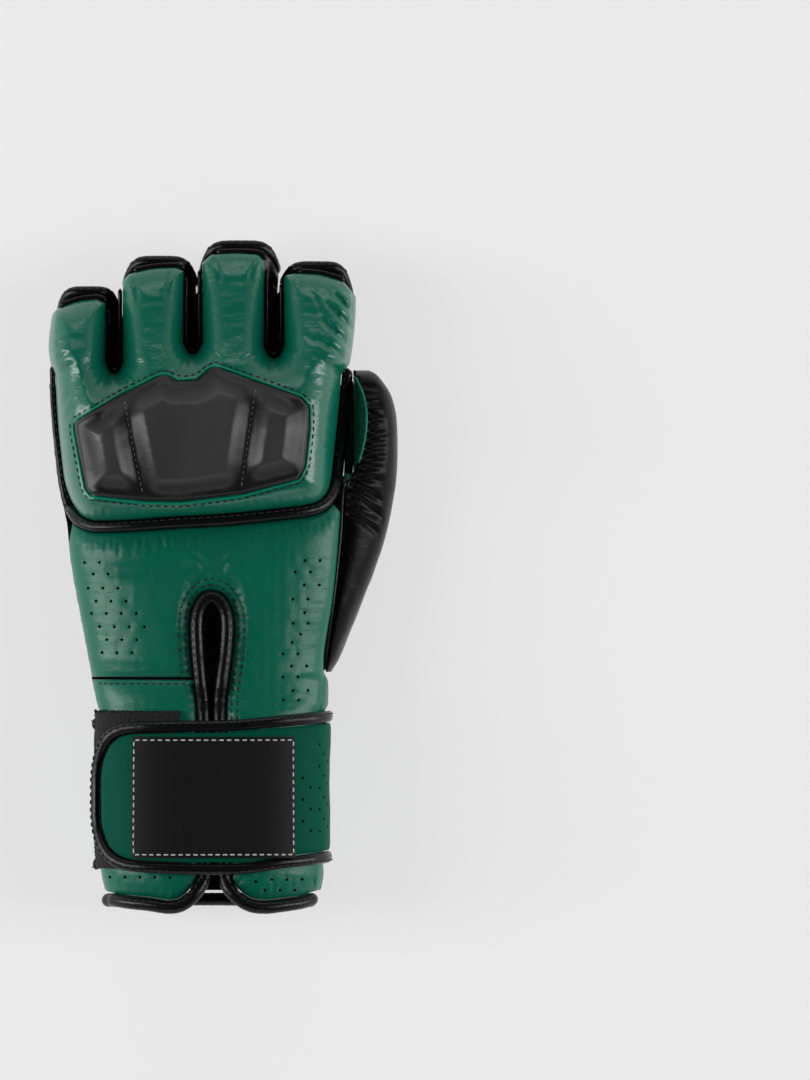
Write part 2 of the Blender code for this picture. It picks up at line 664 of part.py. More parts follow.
def back_panels(slit):
    """Green back of the hand, and the wrist panel below the cross seam on the little finger's side."""
    edge = shifted(slit, -(CUFF_BAND_HALF + CLEARANCE))
    seam_y, gap = along(WRIST_SEAM), SEAM_GAP * MM
    leg = [i for i, p in enumerate(edge) if i > len(edge) / 2 and p.y > seam_y + 3 * gap][-1]
    round_slit, down_leg = edge[:leg + 1], [p for p in edge[leg + 1:] if p.y < seam_y - 3 * gap]
    edge_up = Vector((edge[leg].x, seam_y + gap))
    edge_low = Vector((down_leg[0].x, seam_y - gap))
    under_pad = [p for p in beside_band(-1) if across(-43.5) < p.x < across(31.5) and p.y < along(13)]
    side = 0.25 * MM
    outline = silhouette("left", 5.0, WRIST_SEAM + 100 * gap / GLOVE_LENGTH, side)
    outline += curve([Vector((outline[-1].x + 4 * MM, seam_y + gap)), edge_up], step=8 * MM)
    outline += round_slit[::-1]
    outline += silhouette("right", BACK_END, BACK_START, -side)
    outline += under_pad[::-1]
    soft = [round_slit, [Vector((across(-45), seam_y)), Vector((edge_up.x, seam_y))], under_pad]
    pad("back_panel", outline, panel_top(soft), hollow_height, GREEN, rows=(1.2, 4.5), step=8 * MM)
    outline = curve([edge_low, Vector((across(-33.5), seam_y - gap))], step=8 * MM)
    outline += silhouette("left", WRIST_SEAM - 100 * gap / GLOVE_LENGTH, BACK_END, side)
    outline += down_leg[::-1]
    soft = [[Vector((across(-38), seam_y)), edge_low], down_leg]
    pad("cuff_panel", outline, panel_top(soft), hollow_height, GREEN, rows=(1.2, 4.5), step=8 * MM)


def palm_section(y, angle, inset=0.0):
    """A point of the body's lower half at an angle, from -180 degrees at the left to 0 at the right."""
    left, right = across(body("left", y)) + inset, across(body("right", y)) - inset
    floor = height(body("floor", y)) + inset
    c, s = math.cos(angle), math.sin(angle)
    power = 2 / PALM_SHAPE
    side = height(body("side_left" if c < 0 else "side_right", y)) - RIM_DROP - CLEARANCE
    x = (left + right) / 2 + (right - left) / 2 * math.copysign(abs(c) ** power, c)
    z = side - (side - floor) * abs(s) ** power
    share = 100 * y / GLOVE_LENGTH
    if c > 0:
        rise = max(smooth((share - PALM_OPENS) / PALM_TURN + 0.5), smooth((PALM_CLOSES - share) / PALM_TURN + 0.5))
        z = floor + (z - floor) * rise
        x -= (1 - rise) * CLEARANCE
    return Vector((x, y, z))


def palm():
    """Black leather palm: a trough from side to side, flat under the thumb's root."""
    columns = 16
    outer, inner = [], []
    for share in PALM_ROWS:
        y = along(share)
        line = [palm_section(y, math.radians(-179.9 + 179.8 * k / columns)) for k in range(columns + 1)]
        outer.append(line)
        inner.append([palm_section(y, math.radians(-179.9 + 179.8 * k / columns), PALM_WALL)
                      for k in range(columns + 1)])
    for line, other in zip(outer, inner):
        for a, b in zip(line, other):
            if b.z < a.z + 0.6 * PALM_WALL and abs(a.x - b.x) < 0.9 * PALM_WALL:
                b.z = a.z + PALM_WALL
    shell("palm", outer, inner)


def ring_point(y, angle, lift):
    """A point round the wrist at an angle in degrees, lifted off the body."""
    turn = math.radians(angle)
    if angle < 0:
        spot = palm_section(y, turn)
        near = palm_section(y, turn + 0.01), palm_section(y, turn - 0.01)
    else:
        left, right = across(body("left", y)), across(body("right", y))
        top = height(body("top", y))

        def at(a):
            c, s = math.cos(a), math.sin(a)
            side = height(body("side_left" if c < 0 else "side_right", y))
            power = 2 / body("shape", y)
            x = (left + right) / 2 + (right - left) / 2 * math.copysign(abs(c) ** power, c)
            return Vector((x, y, side + (top - side) * abs(s) ** power))
        spot = at(turn)
        near = at(turn + 0.01), at(max(turn - 0.01, 0))
    run = near[0] - near[1]
    out = Vector((run.z, 0, -run.x)).normalized()
    return spot + out * lift, out


def band(name, angles, edges, lifts, colour, rows=5):
    """A strip of leather round the wrist between two lifts off the body."""
    outer, inner = [], []
    for angle in angles:
        upper, lower = edges(angle)
        low_lift, high_lift = lifts(angle)
        ys = [upper + (lower - upper) * k / rows for k in range(rows + 1)]
        outer.append([ring_point(y, angle, high_lift)[0] for y in ys])
        inner.append([ring_point(y, angle, low_lift)[0] for y in ys])
    return shell(name, outer, inner, colour)


def spread(start, end, count):
    return [start + (end - start) * k / count for k in range(count + 1)]


def strap_lift(angle):
    """The strap's underside: on the body, and over the loop patch at its free end."""
    over = smooth((angle - LOOP_STEP[0]) / (LOOP_STEP[1] - LOOP_STEP[0]))
    return CLEARANCE + over * (LOOP_WALL + 1.2 * CLEARANCE)


def strap_edge(angle, side, inset):
    share = read(STRAP_EDGES, side, "angle", angle)
    return along(share) + (-inset if side == "upper" else inset)


def slant(angle):
    """How much further the strap's leather stays from its edge where that edge slants round its end."""
    return 1 + 0.75 * smooth((angle - 128) / 18)


def straps():
    """Loop patch, strap, its rolled edge and the bare patch on it."""
    band("loop_patch", spread(*LOOP_ANGLES, 10), lambda angle: [along(share) for share in LOOP_ALONG],
         lambda angle: (CLEARANCE, CLEARANCE + LOOP_WALL), BLACK, rows=4)
    angles = spread(STRAP_START, STRAP_TURN, 30) + [140, 144, 148]
    inset = 2 * STRAP_BAND_HALF + CLEARANCE
    band("wrist_strap", angles, lambda a: (strap_edge(a, "upper", inset * slant(a)),
                                           strap_edge(a, "lower", inset * slant(a))),
         lambda a: (strap_lift(a), strap_lift(a) + STRAP_WALL), GREEN, rows=4)
    patch_angles = [PATCH_ANGLES[0]] + [a for a in angles if PATCH_ANGLES[0] + 2 < a < PATCH_ANGLES[1] - 2]
    seat = STRAP_WALL + CLEARANCE
    band("strap_patch", patch_angles + [PATCH_ANGLES[1]], lambda angle: [along(share) for share in PATCH_ALONG],
         lambda a: (strap_lift(a) + seat, strap_lift(a) + seat + PATCH_WALL), BLACK, rows=4)
    bend = [141, 148, 153, 157, STRAP_END]
    route = [(a, "upper") for a in spread(STRAP_START, STRAP_TURN, 28) + bend]
    route += [(a, "lower") for a in bend[::-1] + spread(STRAP_TURN, STRAP_START, 28)]
    path, normals = [], []
    for angle, side in route:
        y = strap_edge(angle, side, STRAP_BAND_HALF)
        spot, out = ring_point(y, angle, strap_lift(angle) + STRAP_BAND_RISE)
        path.append(spot)
        normals.append(out)
    roll("strap_binding", path, normals, STRAP_BAND_HALF, STRAP_BAND_RISE - 0.1 * MM, sides=6)


def cuff_binding(slit):
    """Rolled edge of the slit and the cuff: from one flap round the slit to the other, then round the wrist."""
    path, normals = [], []
    for point in slit:
        share = 100 * point.y / GLOVE_LENGTH
        under_strap = min(smooth((-15.5 - share) / 3), smooth((share + 47.5) / 3))
        sink = 0.7 * MM + under_strap * (CUFF_BAND_HALF - 0.3 * MM)
        path.append(Vector((point.x, point.y, back_height(point.x, point.y) - sink)))
        normals.append(back_normal(point.x, point.y))
    for angle in spread(168, 180, 1) + spread(-174, -6, 14) + spread(2, 14, 1):
        spot, out = ring_point(along(CUFF_END), angle, -CUFF_BAND_HALF)
        path.append(spot)
        normals.append(out)
    roll("cuff_binding", path, normals, CUFF_BAND_HALF, CUFF_BAND_HALF, sides=6, closed=True)


def gusset():
    """Black tongue that closes the slit from inside."""
    upper, lower = (along(share) for share in GUSSET_ALONG)
    middle, half = across(GUSSET_MIDDLE), across(GUSSET_HALF)
    outline = [Vector((middle - half, upper)), Vector((middle - half, lower)), Vector((middle + half, lower)),
               Vector((middle + half, upper))]
    line = []
    for a, b in zip(outline, outline[1:] + outline[:1]):
        cuts = max(1, round((b - a).length / (9 * MM)))
        line += [a.lerp(b, k / cuts) for k in range(cuts)]
    pad("gusset", line, lambda x, y, d: hollow_height(x, y) - CLEARANCE,
        lambda x, y: hollow_height(x, y) - CLEARANCE - GUSSET_WALL, BLACK, rows=(), step=9 * MM)


def thumb(column, share):
    return read(THUMB, column, "along", share)


def thumb_section(share, angle, inset):
    """A point of the thumb's wall at an angle in degrees: 90 at the seam on top, 0 at its outer side."""
    y = along(share)
    seam, outer = across(thumb("seam", share)), across(thumb("outer", share)) - inset
    inner = across(THUMB_INNER)
    inner += min(inset, 0.4 * max(seam - inner, 0))
    middle = THUMB_HEIGHT * thumb("middle", share) / 100
    top = THUMB_HEIGHT * thumb("top", share) / 100 - inset
    round_off = (top - middle + inset) / (THUMB_HEIGHT - middle)
    floor = middle - (middle - height(0.5)) * min(round_off, 1) + inset
    c, s = math.cos(math.radians(angle)), math.sin(math.radians(angle))
    power = 2 / 2.3
    reach = outer - seam if c > 0 else max(seam - inner, 0.3 * MM)
    rise = max(top - middle, 0.3 * MM) if s > 0 else max(middle - floor, 0.3 * MM)
    x = seam + math.copysign(abs(c) ** power, c) * max(reach, 0.3 * MM)
    z = middle + math.copysign(abs(s) ** power, s) * rise
    return Vector((x, y, z))


def thumb_shell():
    """Black padded thumb, closed at its tip, open to the hand along its root."""
    columns = 14
    inner_run = 1 - 150 * THUMB_WALL / GLOVE_LENGTH / (THUMB_ROWS[-1] - TIP_TURN)
    outer, inner = [], []
    for share in THUMB_ROWS:
        low = -90 - 88 * smooth(thumb("wrap", share))
        angles = [88 + (low - 88) * k / columns for k in range(columns + 1)]
        outer.append([thumb_section(share, angle, 0) for angle in angles])
        back = min(share, TIP_TURN + (share - TIP_TURN) * inner_run)
        wall = min(THUMB_WALL, 0.42 * across(thumb("outer", back) - thumb("seam", back)))
        inner.append([thumb_section(back, angle, wall) for angle in angles])
    outer = [row[::-1] for row in outer]
    inner = [row[::-1] for row in inner]
    shell("thumb_shell", outer, inner, tip=True)


def thumb_web():
    """Green leather between the hand and the thumb, on the thumb's inner side."""
    shares = spread(WEB_START, WEB_END, 8)
    outer, inner = [], []
    for share in shares:
        angles = [176 + (93 - 176) * k / 6 for k in range(7)]
        outer.append([thumb_section(share, angle, 0) for angle in angles])
        inner.append([thumb_section(share, angle, WEB_WALL) for angle in angles])
    shell("thumb_web", outer, inner, GREEN)


def settle():
    """Move the finished glove so that the origin is on the floor, under the middle of its box."""
    corners = [corner.co for made in bpy.data.objects for corner in made.data.vertices]
    low = [min(corner[i] for corner in corners) for i in range(3)]
    high = [max(corner[i] for corner in corners) for i in range(3)]
    move = Vector(((low[0] + high[0]) / 2, (low[1] + high[1]) / 2, low[2]))
    for made in bpy.data.objects:
        made.location = -move


def main():
    for old in list(bpy.data.objects):
        bpy.data.objects.remove(old, do_unlink=True)
    outline = knuckle_pad()
    knuckle_panel(outline)
    pad_binding()
    slot_pipings()
    fingers()
    slit = slit_line()
    back_panels(slit)
    cuff_binding(slit)
    palm()
    straps()
    gusset()
    thumb_shell()
    thumb_web()
    settle()


main()
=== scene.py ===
"""Looks of the left-hand mma sparring glove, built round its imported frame.

The pieces follow the sizes and tables of the part's source, with finer meshes, folds, seams and stitches.
"""
import math
from collections import namedtuple

import bpy
import numpy as np
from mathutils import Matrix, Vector, geometry
from mathutils.bvhtree import BVHTree


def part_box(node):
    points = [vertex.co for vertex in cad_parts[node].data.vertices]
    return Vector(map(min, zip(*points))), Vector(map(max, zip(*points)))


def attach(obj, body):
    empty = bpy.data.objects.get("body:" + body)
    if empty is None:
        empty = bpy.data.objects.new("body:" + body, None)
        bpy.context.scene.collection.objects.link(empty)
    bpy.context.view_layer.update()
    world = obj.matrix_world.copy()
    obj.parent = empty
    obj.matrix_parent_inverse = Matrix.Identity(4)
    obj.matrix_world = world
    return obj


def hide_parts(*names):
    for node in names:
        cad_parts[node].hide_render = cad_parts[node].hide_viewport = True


MM = 0.001

# Driving sizes. Tables give places across in percent of GLOVE_WIDTH from the middle, places along in
# percent of GLOVE_LENGTH from the middle, and heights in percent of PAD_HEIGHT from the floor.
GLOVE_LENGTH = 260 * MM
GLOVE_WIDTH = 135 * MM
PAD_HEIGHT = 60 * MM
THUMB_HEIGHT = 34 * MM

# Leather, padding and rolled edges
PALM_WALL = 2.0 * MM
TUBE_WALL = 1.8 * MM
THUMB_WALL = 5.0 * MM
WEB_WALL = 2.0 * MM
STRAP_WALL = 2.2 * MM
LOOP_WALL = 1.6 * MM
PATCH_WALL = 1.2 * MM
GUSSET_WALL = 1.5 * MM
KNUCKLE_RELIEF = 5.0 * MM
CREASE_HALF = 0.5 * MM
KNUCKLE_BORDER = 1.4 * MM
PANEL_ROLL = 3.0 * MM
RIM_DROP = 1.5 * MM
CLEARANCE = 0.4 * MM
SEAM_ROOM = 0.1 * MM
PANEL_SEAT = 0.9 * MM
PAD_EDGE = 1.6 * MM
BAND_LIFT = 0.6 * MM
PANEL_BORDER = 2.6 * MM
PAD_BAND_HALF = 2.6 * MM
PAD_BAND_SIDE = 1.5 * MM
CUFF_BAND_HALF = 2.6 * MM
STRAP_BAND_HALF = 2.2 * MM
STRAP_BAND_RISE = 1.5 * MM
TIP_BAND_HALF = 2.3 * MM
PIPING_HALF = 0.9 * MM
BINDING_PINCH = 0.03
KNUCKLE_SWELL = 20 * MM
LOW_SWELL = 12 * MM
FINGER_SWELL = 10.4 * MM
PANEL_SWELL = 8 * MM
LOBE_SWELL = 7.5 * MM

# How square the cross sections are: 2 is an ellipse
PALM_SHAPE = 3.2
TUBE_SHAPE = 2.8
THUMB_SHAPE = 2.3

# Fineness of the meshes
FINE = 0.85 * MM
COARSE = 6.0 * MM
STEP = 1.0 * MM
EDGE_ROWS = [0.1 * MM, 0.3 * MM, 0.6 * MM, 1.0 * MM, 1.6 * MM, 2.3 * MM, 3.1 * MM]

# Stitches and punched holes
STITCH_LENGTH = 1.9 * MM
STITCH_PITCH = 2.9 * MM
STITCH_RADIUS = 0.26 * MM
HOLE_RADIUS = 0.62 * MM
HOLE_DEPTH = 1.3 * MM
SEAM_STITCH_RADIUS = 0.3 * MM

# How far from an edge rows of stitches and the lip run, and where some rows end; the lip is lighter green as
# a painted highlight
RIM_LIP = 0.75 * MM
RIM_STITCHES = 2.0 * MM
SLIT_STITCHES = (2.0 * MM, 4.2 * MM)
SEAM_STITCHES = 1.6 * MM
SLIT_STITCHES_END = -21.5
CUFF_STITCHES_END = -35.5

# Where a rolled edge's stitches sit on its skin, in degrees from its side
PAD_STITCH_ANGLE = 118
TIP_STITCH_ANGLE = 52
CUFF_STITCH_ANGLE = 55
STRAP_STITCH_ANGLE = 60
# Which steps of a fingertip's rolled edge carry stitches: those on top
TIP_STITCHES = slice(13, 43)

# The glove's body under the pad, in sections from the fingertips to the cuff
Section = namedtuple("Section", "along left right top side_left side_right floor hollow wall shape")
SECTIONS = [
    Section(50.0, -49.5, 38.5, 52, 40, 40, 1.0, 48.7, 1.5, 9),
    Section(41.1, -49.3, 38.2, 52, 40, 40, 1.0, 48.7, 1.5, 9),
    Section(35.2, -49.9, 37.3, 52, 40, 40, 0.5, 48.7, 1.5, 9),
    Section(30.1, -49.9, 36.5, 54, 38, 38, 0.5, 49.5, 2.0, 5),
    Section(26.3, -49.4, 36.0, 60, 35, 37, 0.5, 52, 3.5, 3.2),
    Section(20.4, -48.6, 35.1, 66, 33, 40, 0.5, 55, 3.7, 2.6),
    Section(14.4, -47.3, 34.2, 73, 33, 49, 0.5, 59, 3.7, 2.6),
    Section(8.5, -44.9, 33.5, 79, 35, 54, 0.5, 63, 3.7, 2.6),
    Section(2.6, -43.7, 32.6, 82, 37, 55, 0.5, 67, 3.7, 2.6),
    Section(-3.3, -41.7, 31.4, 83, 38, 55, 0.5, 68, 3.7, 2.6),
    Section(-10.7, -39.0, 29.1, 84, 42, 52, 0.5, 70, 3.7, 2.6),
    Section(-13.7, -37.9, 28.8, 85, 44, 50, 0.5, 71, 3.7, 2.6),
    Section(-15.2, -37.4, 30.0, 85, 45, 49, 0.8, 71, 3.7, 2.6),
    Section(-18.4, -36.2, 30.1, 87, 46, 47, 3.4, 73, 3.7, 2.6),
    Section(-20.2, -35.3, 28.9, 89, 47, 47, 6.2, 75, 3.7, 2.6),
    Section(-33.0, -35.3, 28.6, 92, 47, 47, 6.2, 78, 3.7, 2.6),
    Section(-43.3, -34.9, 28.7, 93, 47, 47, 6.2, 79, 3.7, 2.6),
    Section(-49.6, -31.7, 26.0, 92, 47, 47, 6.2, 78, 3.7, 2.6),
]

# Height of the pad's crown along the glove
Crown = namedtuple("Crown", "along height")
CROWNS = [
    Crown(50.0, 58), Crown(44.0, 66), Crown(38.0, 75), Crown(32.0, 86), Crown(27.0, 96),
    Crown(21.0, 100), Crown(14.0, 98), Crown(8.0, 94),
]

# Outline of the pad in plan, and the middle line of its rolled edge
PINKY_SIDE = [(-49.2, 31.6), (-49.8, 33.6), (-49.6, 36.0), (-48.8, 38.9)]
INDEX_SIDE = [(36.1, 31.6), (36.9, 34.0), (37.7, 38.0), (37.9, 41.6)]
PAD_BAND = [
    (-48.7, 30.0), (-48.6, 26.3), (-48.0, 21.9), (-47.3, 18.9), (-46.2, 14.4), (-44.5, 11.0), (-41.6, 8.6),
    (-37.4, 7.6), (-34.0, 7.5), (-27.1, 7.6), (-13.4, 8.1), (0.3, 8.5), (14.0, 9.2), (24.3, 9.9),
    (28.4, 10.7), (31.2, 12.3), (32.5, 14.6), (33.1, 17.4), (34.4, 23.3), (35.3, 29.2), (35.4, 30.0),
]

# A finger: edges of its tube at the root and at the tip, and how far along its tip lies
Finger = namedtuple("Finger", "name root_left root_right tip_left tip_right left_end crown_end right_end")
FINGERS = [
    Finger("pinky", -46.2, -31.5, -46.8, -29.9, 40.0, 42.3, 39.8),
    Finger("ring", -30.4, -9.2, -28.2, -7.7, 43.6, 46.8, 43.8),
    Finger("middle", -8.0, 13.9, -6.3, 15.8, 45.5, 49.1, 45.8),
    Finger("index", 15.1, 33.2, 16.8, 36.8, 43.8, 46.0, 41.3),
]
FINGER_ROOT = 29.4
LINING_END = (39.2, 42.4, 42.4)
LINING_HEIGHT = 24
FINGER_FLOOR = 4.2

# A gap between two fingers: its edges where the pad parts, and its rounded bottom
Slot = namedtuple("Slot", "left right bottom left_end right_end")
SLOTS = [
    Slot(-33.4, -28.6, 30.1, 40.6, 43.8),
    Slot(-11.3, -5.9, 33.0, 45.4, 46.6),
    Slot(11.7, 17.4, 32.4, 46.8, 44.6),
]
SLOT_TURN = 1.3
# Where the pad ends behind each finger's rolled edge
TIP_LINES = [
    [(-47.9, 39.6), (-44.3, 40.3), (-40.9, 40.9), (-36.0, 41.2)],
    [(-26.8, 44.9), (-20.3, 45.7), (-13.6, 45.9)],
    [(-3.3, 47.8), (3.7, 48.0), (10.0, 47.8)],
    [(20.0, 45.0), (27.7, 44.8), (34.6, 43.7)],
]

# The embossed panel on the pad, and the creases that part its lobes
KNUCKLE_OUTLINE = [
    (-41.9, 22.9), (-28.1, 27.1), (-17.5, 29.8), (-15.6, 29.8), (-13.1, 28.9), (-7.2, 29.1), (-3.8, 30.7),
    (-2.1, 31.1), (22.3, 26.5), (24.5, 25.2), (24.5, 22.0), (23.3, 16.4), (21.6, 14.6), (5.1, 12.3),
    (-12.1, 11.2), (-21.5, 11.3), (-37.2, 12.2), (-38.7, 13.1), (-41.9, 21.6),
]
KNUCKLE_CREASES = [[(-28.2, 27.2), (-25.4, 19.4), (-22.2, 11.4)], [(9.8, 29.0), (7.3, 20.4), (5.1, 12.2)]]

# The slit down the back, edged by the rolled cuff
SLIT_LEFT = [(-3.3, -2.8), (-5.9, -3.9), (-7.3, -6.3), (-7.1, -10.7), (-6.3, -15.2), (-5.5, -19.6),
             (-5.0, -32.0), (-5.0, -42.5)]
FLAP_LEFT = [(-5.4, -44.6), (-7.6, -46.6), (-11.0, -48.2), (-15.1, -48.7), (-20.9, -48.3), (-26.6, -48.0),
             (-31.0, -47.7)]
FLAP_RIGHT = [(25.3, -47.6), (22.0, -48.1), (16.3, -48.5), (12.0, -48.7), (7.7, -48.4), (4.0, -47.2),
              (1.2, -45.4), (0.4, -42.5)]
SLIT_RIGHT = [(-0.4, -32.0), (-0.9, -19.6), (-0.2, -15.2), (0.9, -10.7), (1.2, -6.3), (-0.3, -3.9)]
CUFF_END = -47.8
# Where the strap presses the rolled cuff in
UNDER_STRAP = (-15.5, -47.5)

# Where the palm, the back and the cuff's panel start and end, and the room at their seams
PALM_START = 28.6
PALM_END = -46.3
PALM_FLOOR = 0.5
BACK_START = 9.6
BACK_END = -46.2
BACK_LEFT_START = 5.0
CUFF_PANEL_END = -46.4
SIDE_ROOM = 0.25 * MM
WRIST_SEAM = -14.9
SEAM_GAP = 0.5 * MM
SEAM_SHARE = 100 * SEAM_GAP / GLOVE_LENGTH

# The thumb: the seam between its black shell and the green leather, and its outer edge
Thumb = namedtuple("Thumb", "along seam outer top middle wrap")
THUMB = [
    Thumb(30.7, 37.6, 41.5, 52, 50, 1.0),
    Thumb(30.2, 37.6, 43.5, 68, 50, 1.0),
    Thumb(29.0, 38.4, 45.6, 82, 50, 1.0),
    Thumb(27.3, 39.8, 47.7, 92, 50, 1.0),
    Thumb(24.2, 40.8, 49.3, 100, 50, 1.0),
    Thumb(20.4, 40.2, 49.8, 101, 50, 1.0),
    Thumb(15.9, 37.6, 49.6, 101, 48, 1.0),
    Thumb(13.6, 35.0, 49.2, 100, 47, 0.0),
    Thumb(11.5, 34.4, 48.6, 98, 46, 0.0),
    Thumb(7.0, 34.0, 46.9, 96, 45, 0.0),
    Thumb(2.6, 33.2, 44.3, 96, 44, 0.0),
    Thumb(-3.3, 31.9, 40.0, 96, 43, 0.0),
    Thumb(-9.3, 30.3, 35.3, 93, 42, 0.0),
    Thumb(-12.2, 29.6, 33.0, 90, 41, 0.0),
    Thumb(-14.0, 29.2, 30.9, 86, 41, 0.0),
]
THUMB_START = -14.0
THUMB_END = 30.7
THUMB_INNER = 37.1
TIP_TURN = 19.0
THUMB_SEAM_ANGLE = 88
# Which part of the thumb's outline has the lip, lighter green as a painted highlight, as shares of its points
THUMB_LIP = (0.69, 0.98)
SEAM_OVERLAP = 0.8 * MM
PAD_BESIDE_THUMB = 11.5
GATHER_START = 9.6
GATHER_END = 29.0
WEB_START = 15.2
WEB_END = 29.9
PALM_OPENS = 13.6
PALM_CLOSES = -14.7
PALM_TURN = 2.2

# The strap: its edges along the glove at angles round the wrist
StrapEdge = namedtuple("StrapEdge", "angle upper lower")
STRAP_EDGES = [
    StrapEdge(-176, -20.9, -43.4), StrapEdge(-45, -20.4, -42.6), StrapEdge(0, -19.7, -42.2),
    StrapEdge(55, -20.3, -42.9), StrapEdge(85, -21.0, -43.9), StrapEdge(110, -21.2, -43.7),
    StrapEdge(134, -21.6, -43.1), StrapEdge(148, -23.4, -41.2), StrapEdge(157, -26.6, -38.0),
    StrapEdge(160, -29.4, -35.2),
]
STRAP_START = -176
STRAP_TURN = 134
STRAP_END = 159.5
LOOP_ANGLES = (100.5, 172.0)
LOOP_ALONG = (-19.7, -43.0)
PATCH_ANGLES = (50.5, 124.5)
PATCH_ALONG = (-23.5, -41.4)
PATCH_SEAT = STRAP_WALL + CLEARANCE
PATCH_STITCH_INSET = 0.5
LOOP_STEP = (82.0, 99.0)
# Loose loops on the loop patch, and the share of them at its free end
LOOSE_LOOPS = 700
LOOPS_AT_END = 0.6

# The gusset under the slit
GUSSET_HALF = 6.0
GUSSET_MIDDLE = -2.9
GUSSET_ALONG = (-2.6, -46.2)

# Rows of punched holes in the back: where each row starts and how many holes it has
HoleRow = namedtuple("HoleRow", "across along count")
HOLE_PITCH = 4.3
HOLE_ROWS = [
    HoleRow(-39.4, 2.2, 2), HoleRow(-36.9, 0.5, 2), HoleRow(-38.4, -1.6, 3), HoleRow(-36.1, -3.5, 3),
    HoleRow(-37.4, -5.3, 4), HoleRow(-35.1, -7.3, 4), HoleRow(-33.0, -9.2, 3), HoleRow(-34.4, -11.1, 3),
    HoleRow(23.4, 2.5, 2), HoleRow(20.6, 0.8, 2), HoleRow(23.2, -1.1, 2), HoleRow(19.9, -3.2, 2),
    HoleRow(23.3, -5.2, 1), HoleRow(20.0, -6.8, 2), HoleRow(22.2, -8.4, 1), HoleRow(19.7, -9.6, 1),
    HoleRow(17.1, -11.3, 2), HoleRow(19.6, -13.1, 2), HoleRow(17.1, -14.7, 2), HoleRow(20.0, -16.7, 2),
    HoleRow(17.3, -18.1, 2),
]
CUFF_HOLES = [
    HoleRow(-32.1, -44.3, 5), HoleRow(9.5, -44.9, 1), HoleRow(14.0, -44.6, 3), HoleRow(12.0, -46.2, 3),
]

# Punched holes near the strap's right side: an angle round the wrist, the first place along, and how many
STRAP_HOLE_PITCH = 3.2
STRAP_HOLES = [HoleRow(43, -29.6, 3), HoleRow(36, -31.0, 3), HoleRow(26, -24.7, 5), HoleRow(20, -26.1, 4),
               HoleRow(13, -27.2, 4), HoleRow(5, -28.6, 3)]

# How far a degree round the wrist reaches when the strap is laid flat
DEGREE = 0.57 * MM

# Colours
GREEN = (0.0010, 0.140, 0.083)
BLACK = (0.004, 0.004, 0.0043)
PANEL_BLACK = (0.008, 0.008, 0.008)
# Lighter grey for the knuckle panel's lobes: painted sheen for the overhead light's reflection on their
# plateaus, with some wear
PANEL_WEAR_AND_SHEEN = (0.052, 0.052, 0.052)
PATCH_BLACK = (0.011, 0.011, 0.011)
LOOP_BLACK = (0.004, 0.004, 0.004)
# Black inside the punched holes: painted shade in their depth
HOLE_SHADE_BLACK = (0.002, 0.004, 0.003)
THREAD_DARK = (0.004, 0.008, 0.007)
THREAD_PALE = (0.62, 0.62, 0.60)
THREAD_GREY = (0.17, 0.16, 0.20)

# Scales of the procedural textures, in cells for a metre
GRAIN_SCALE = 1500
POLISH_SCALE = 70
PILE_SCALE = 900
FINE_PILE_SCALE = 2500
TWIST_SCALE = 4000

# The camera looks straight down, and keeps the glove in the left half of the picture
CAMERA_ACROSS = 70.07 * MM
CAMERA_ALONG = 14.4 * MM
CAMERA_HEIGHT = 8.0
CAMERA_LENS = 690.0
FLOOR_SIZE = 12.0
FLOOR_TONE = 0.3
FLOOR_GLOW = 0.62
ROOM_LOW = 0.45
ROOM_HIGH = 0.02
ROOM_BLEND = (0.30, 0.70)
FILM_SIZE = 36
Softbox = namedtuple("Softbox", "name place size power")
SOFTBOXES = [
    Softbox("left_softbox", (-1.85, 0.0, 0.80), (0.6, 2.2), 30),
    Softbox("right_softbox", (1.85, 0.0, 0.80), (0.6, 2.2), 25),
    Softbox("far_softbox", (0.0, 1.8, 0.9), (1.8, 0.5), 5),
    Softbox("near_softbox", (0.0, -1.8, 0.9), (1.8, 0.5), 3),
]


def across(share):
    """A place across the glove, from percent of its width."""
    return GLOVE_WIDTH * share / 100


def along(share):
    """A place along the glove, from percent of its length."""
    return GLOVE_LENGTH * share / 100


def height(share):
    """A height over the floor, from percent of the pad's height."""
    return PAD_HEIGHT * share / 100


def plan(points):
    """A line in plan, from percent of the glove's width and length."""
    return np.array([(across(x), along(y)) for x, y in points])


def read(table, column, key, place):
    """A table's column at many places, on a smooth curve through its rows."""
    rows = sorted(table, key=lambda row: getattr(row, key))
    keys = np.array([getattr(row, key) for row in rows], float)
    values = np.array([getattr(row, column) for row in rows], float)
    number = np.arange(len(rows))
    low, high = np.maximum(number - 1, 0), np.minimum(number + 1, len(rows) - 1)
    slopes = (values[high] - values[low]) / (keys[high] - keys[low])
    turning = (values[high] - values) * (values - values[low]) <= 0
    turning[[0, -1]] = False
    slopes[turning] = 0
    place = np.clip(place, keys[0], keys[-1])
    i = np.clip(np.searchsorted(keys, place, side="right") - 1, 0, len(rows) - 2)
    span = keys[i + 1] - keys[i]
    t = (place - keys[i]) / span
    start = (2 * t ** 3 - 3 * t ** 2 + 1) * values[i] + (t ** 3 - 2 * t ** 2 + t) * span * slopes[i]
    end = (3 * t ** 2 - 2 * t ** 3) * values[i + 1] + (t ** 3 - t ** 2) * span * slopes[i + 1]
    return start + end


def body(column, y):
    """A column of the body's sections at real places along the glove."""
    return read(SECTIONS, column, "along", 100 * np.asarray(y) / GLOVE_LENGTH)


def smooth(t):
    """An even ramp from 0 to 1, level at both ends."""
    t = np.clip(t, 0, 1)
    return t * t * (3 - 2 * t)


def swell(distance, reach):
    """How much a pad has risen at a distance from its edge, from 0 to 1."""
    t = 1 - np.clip(distance / reach, 0, 1)
    return np.sqrt(1 - t * t)


def bend(value, power):
    """A power that keeps the sign."""
    return np.sign(value) * np.abs(value) ** power


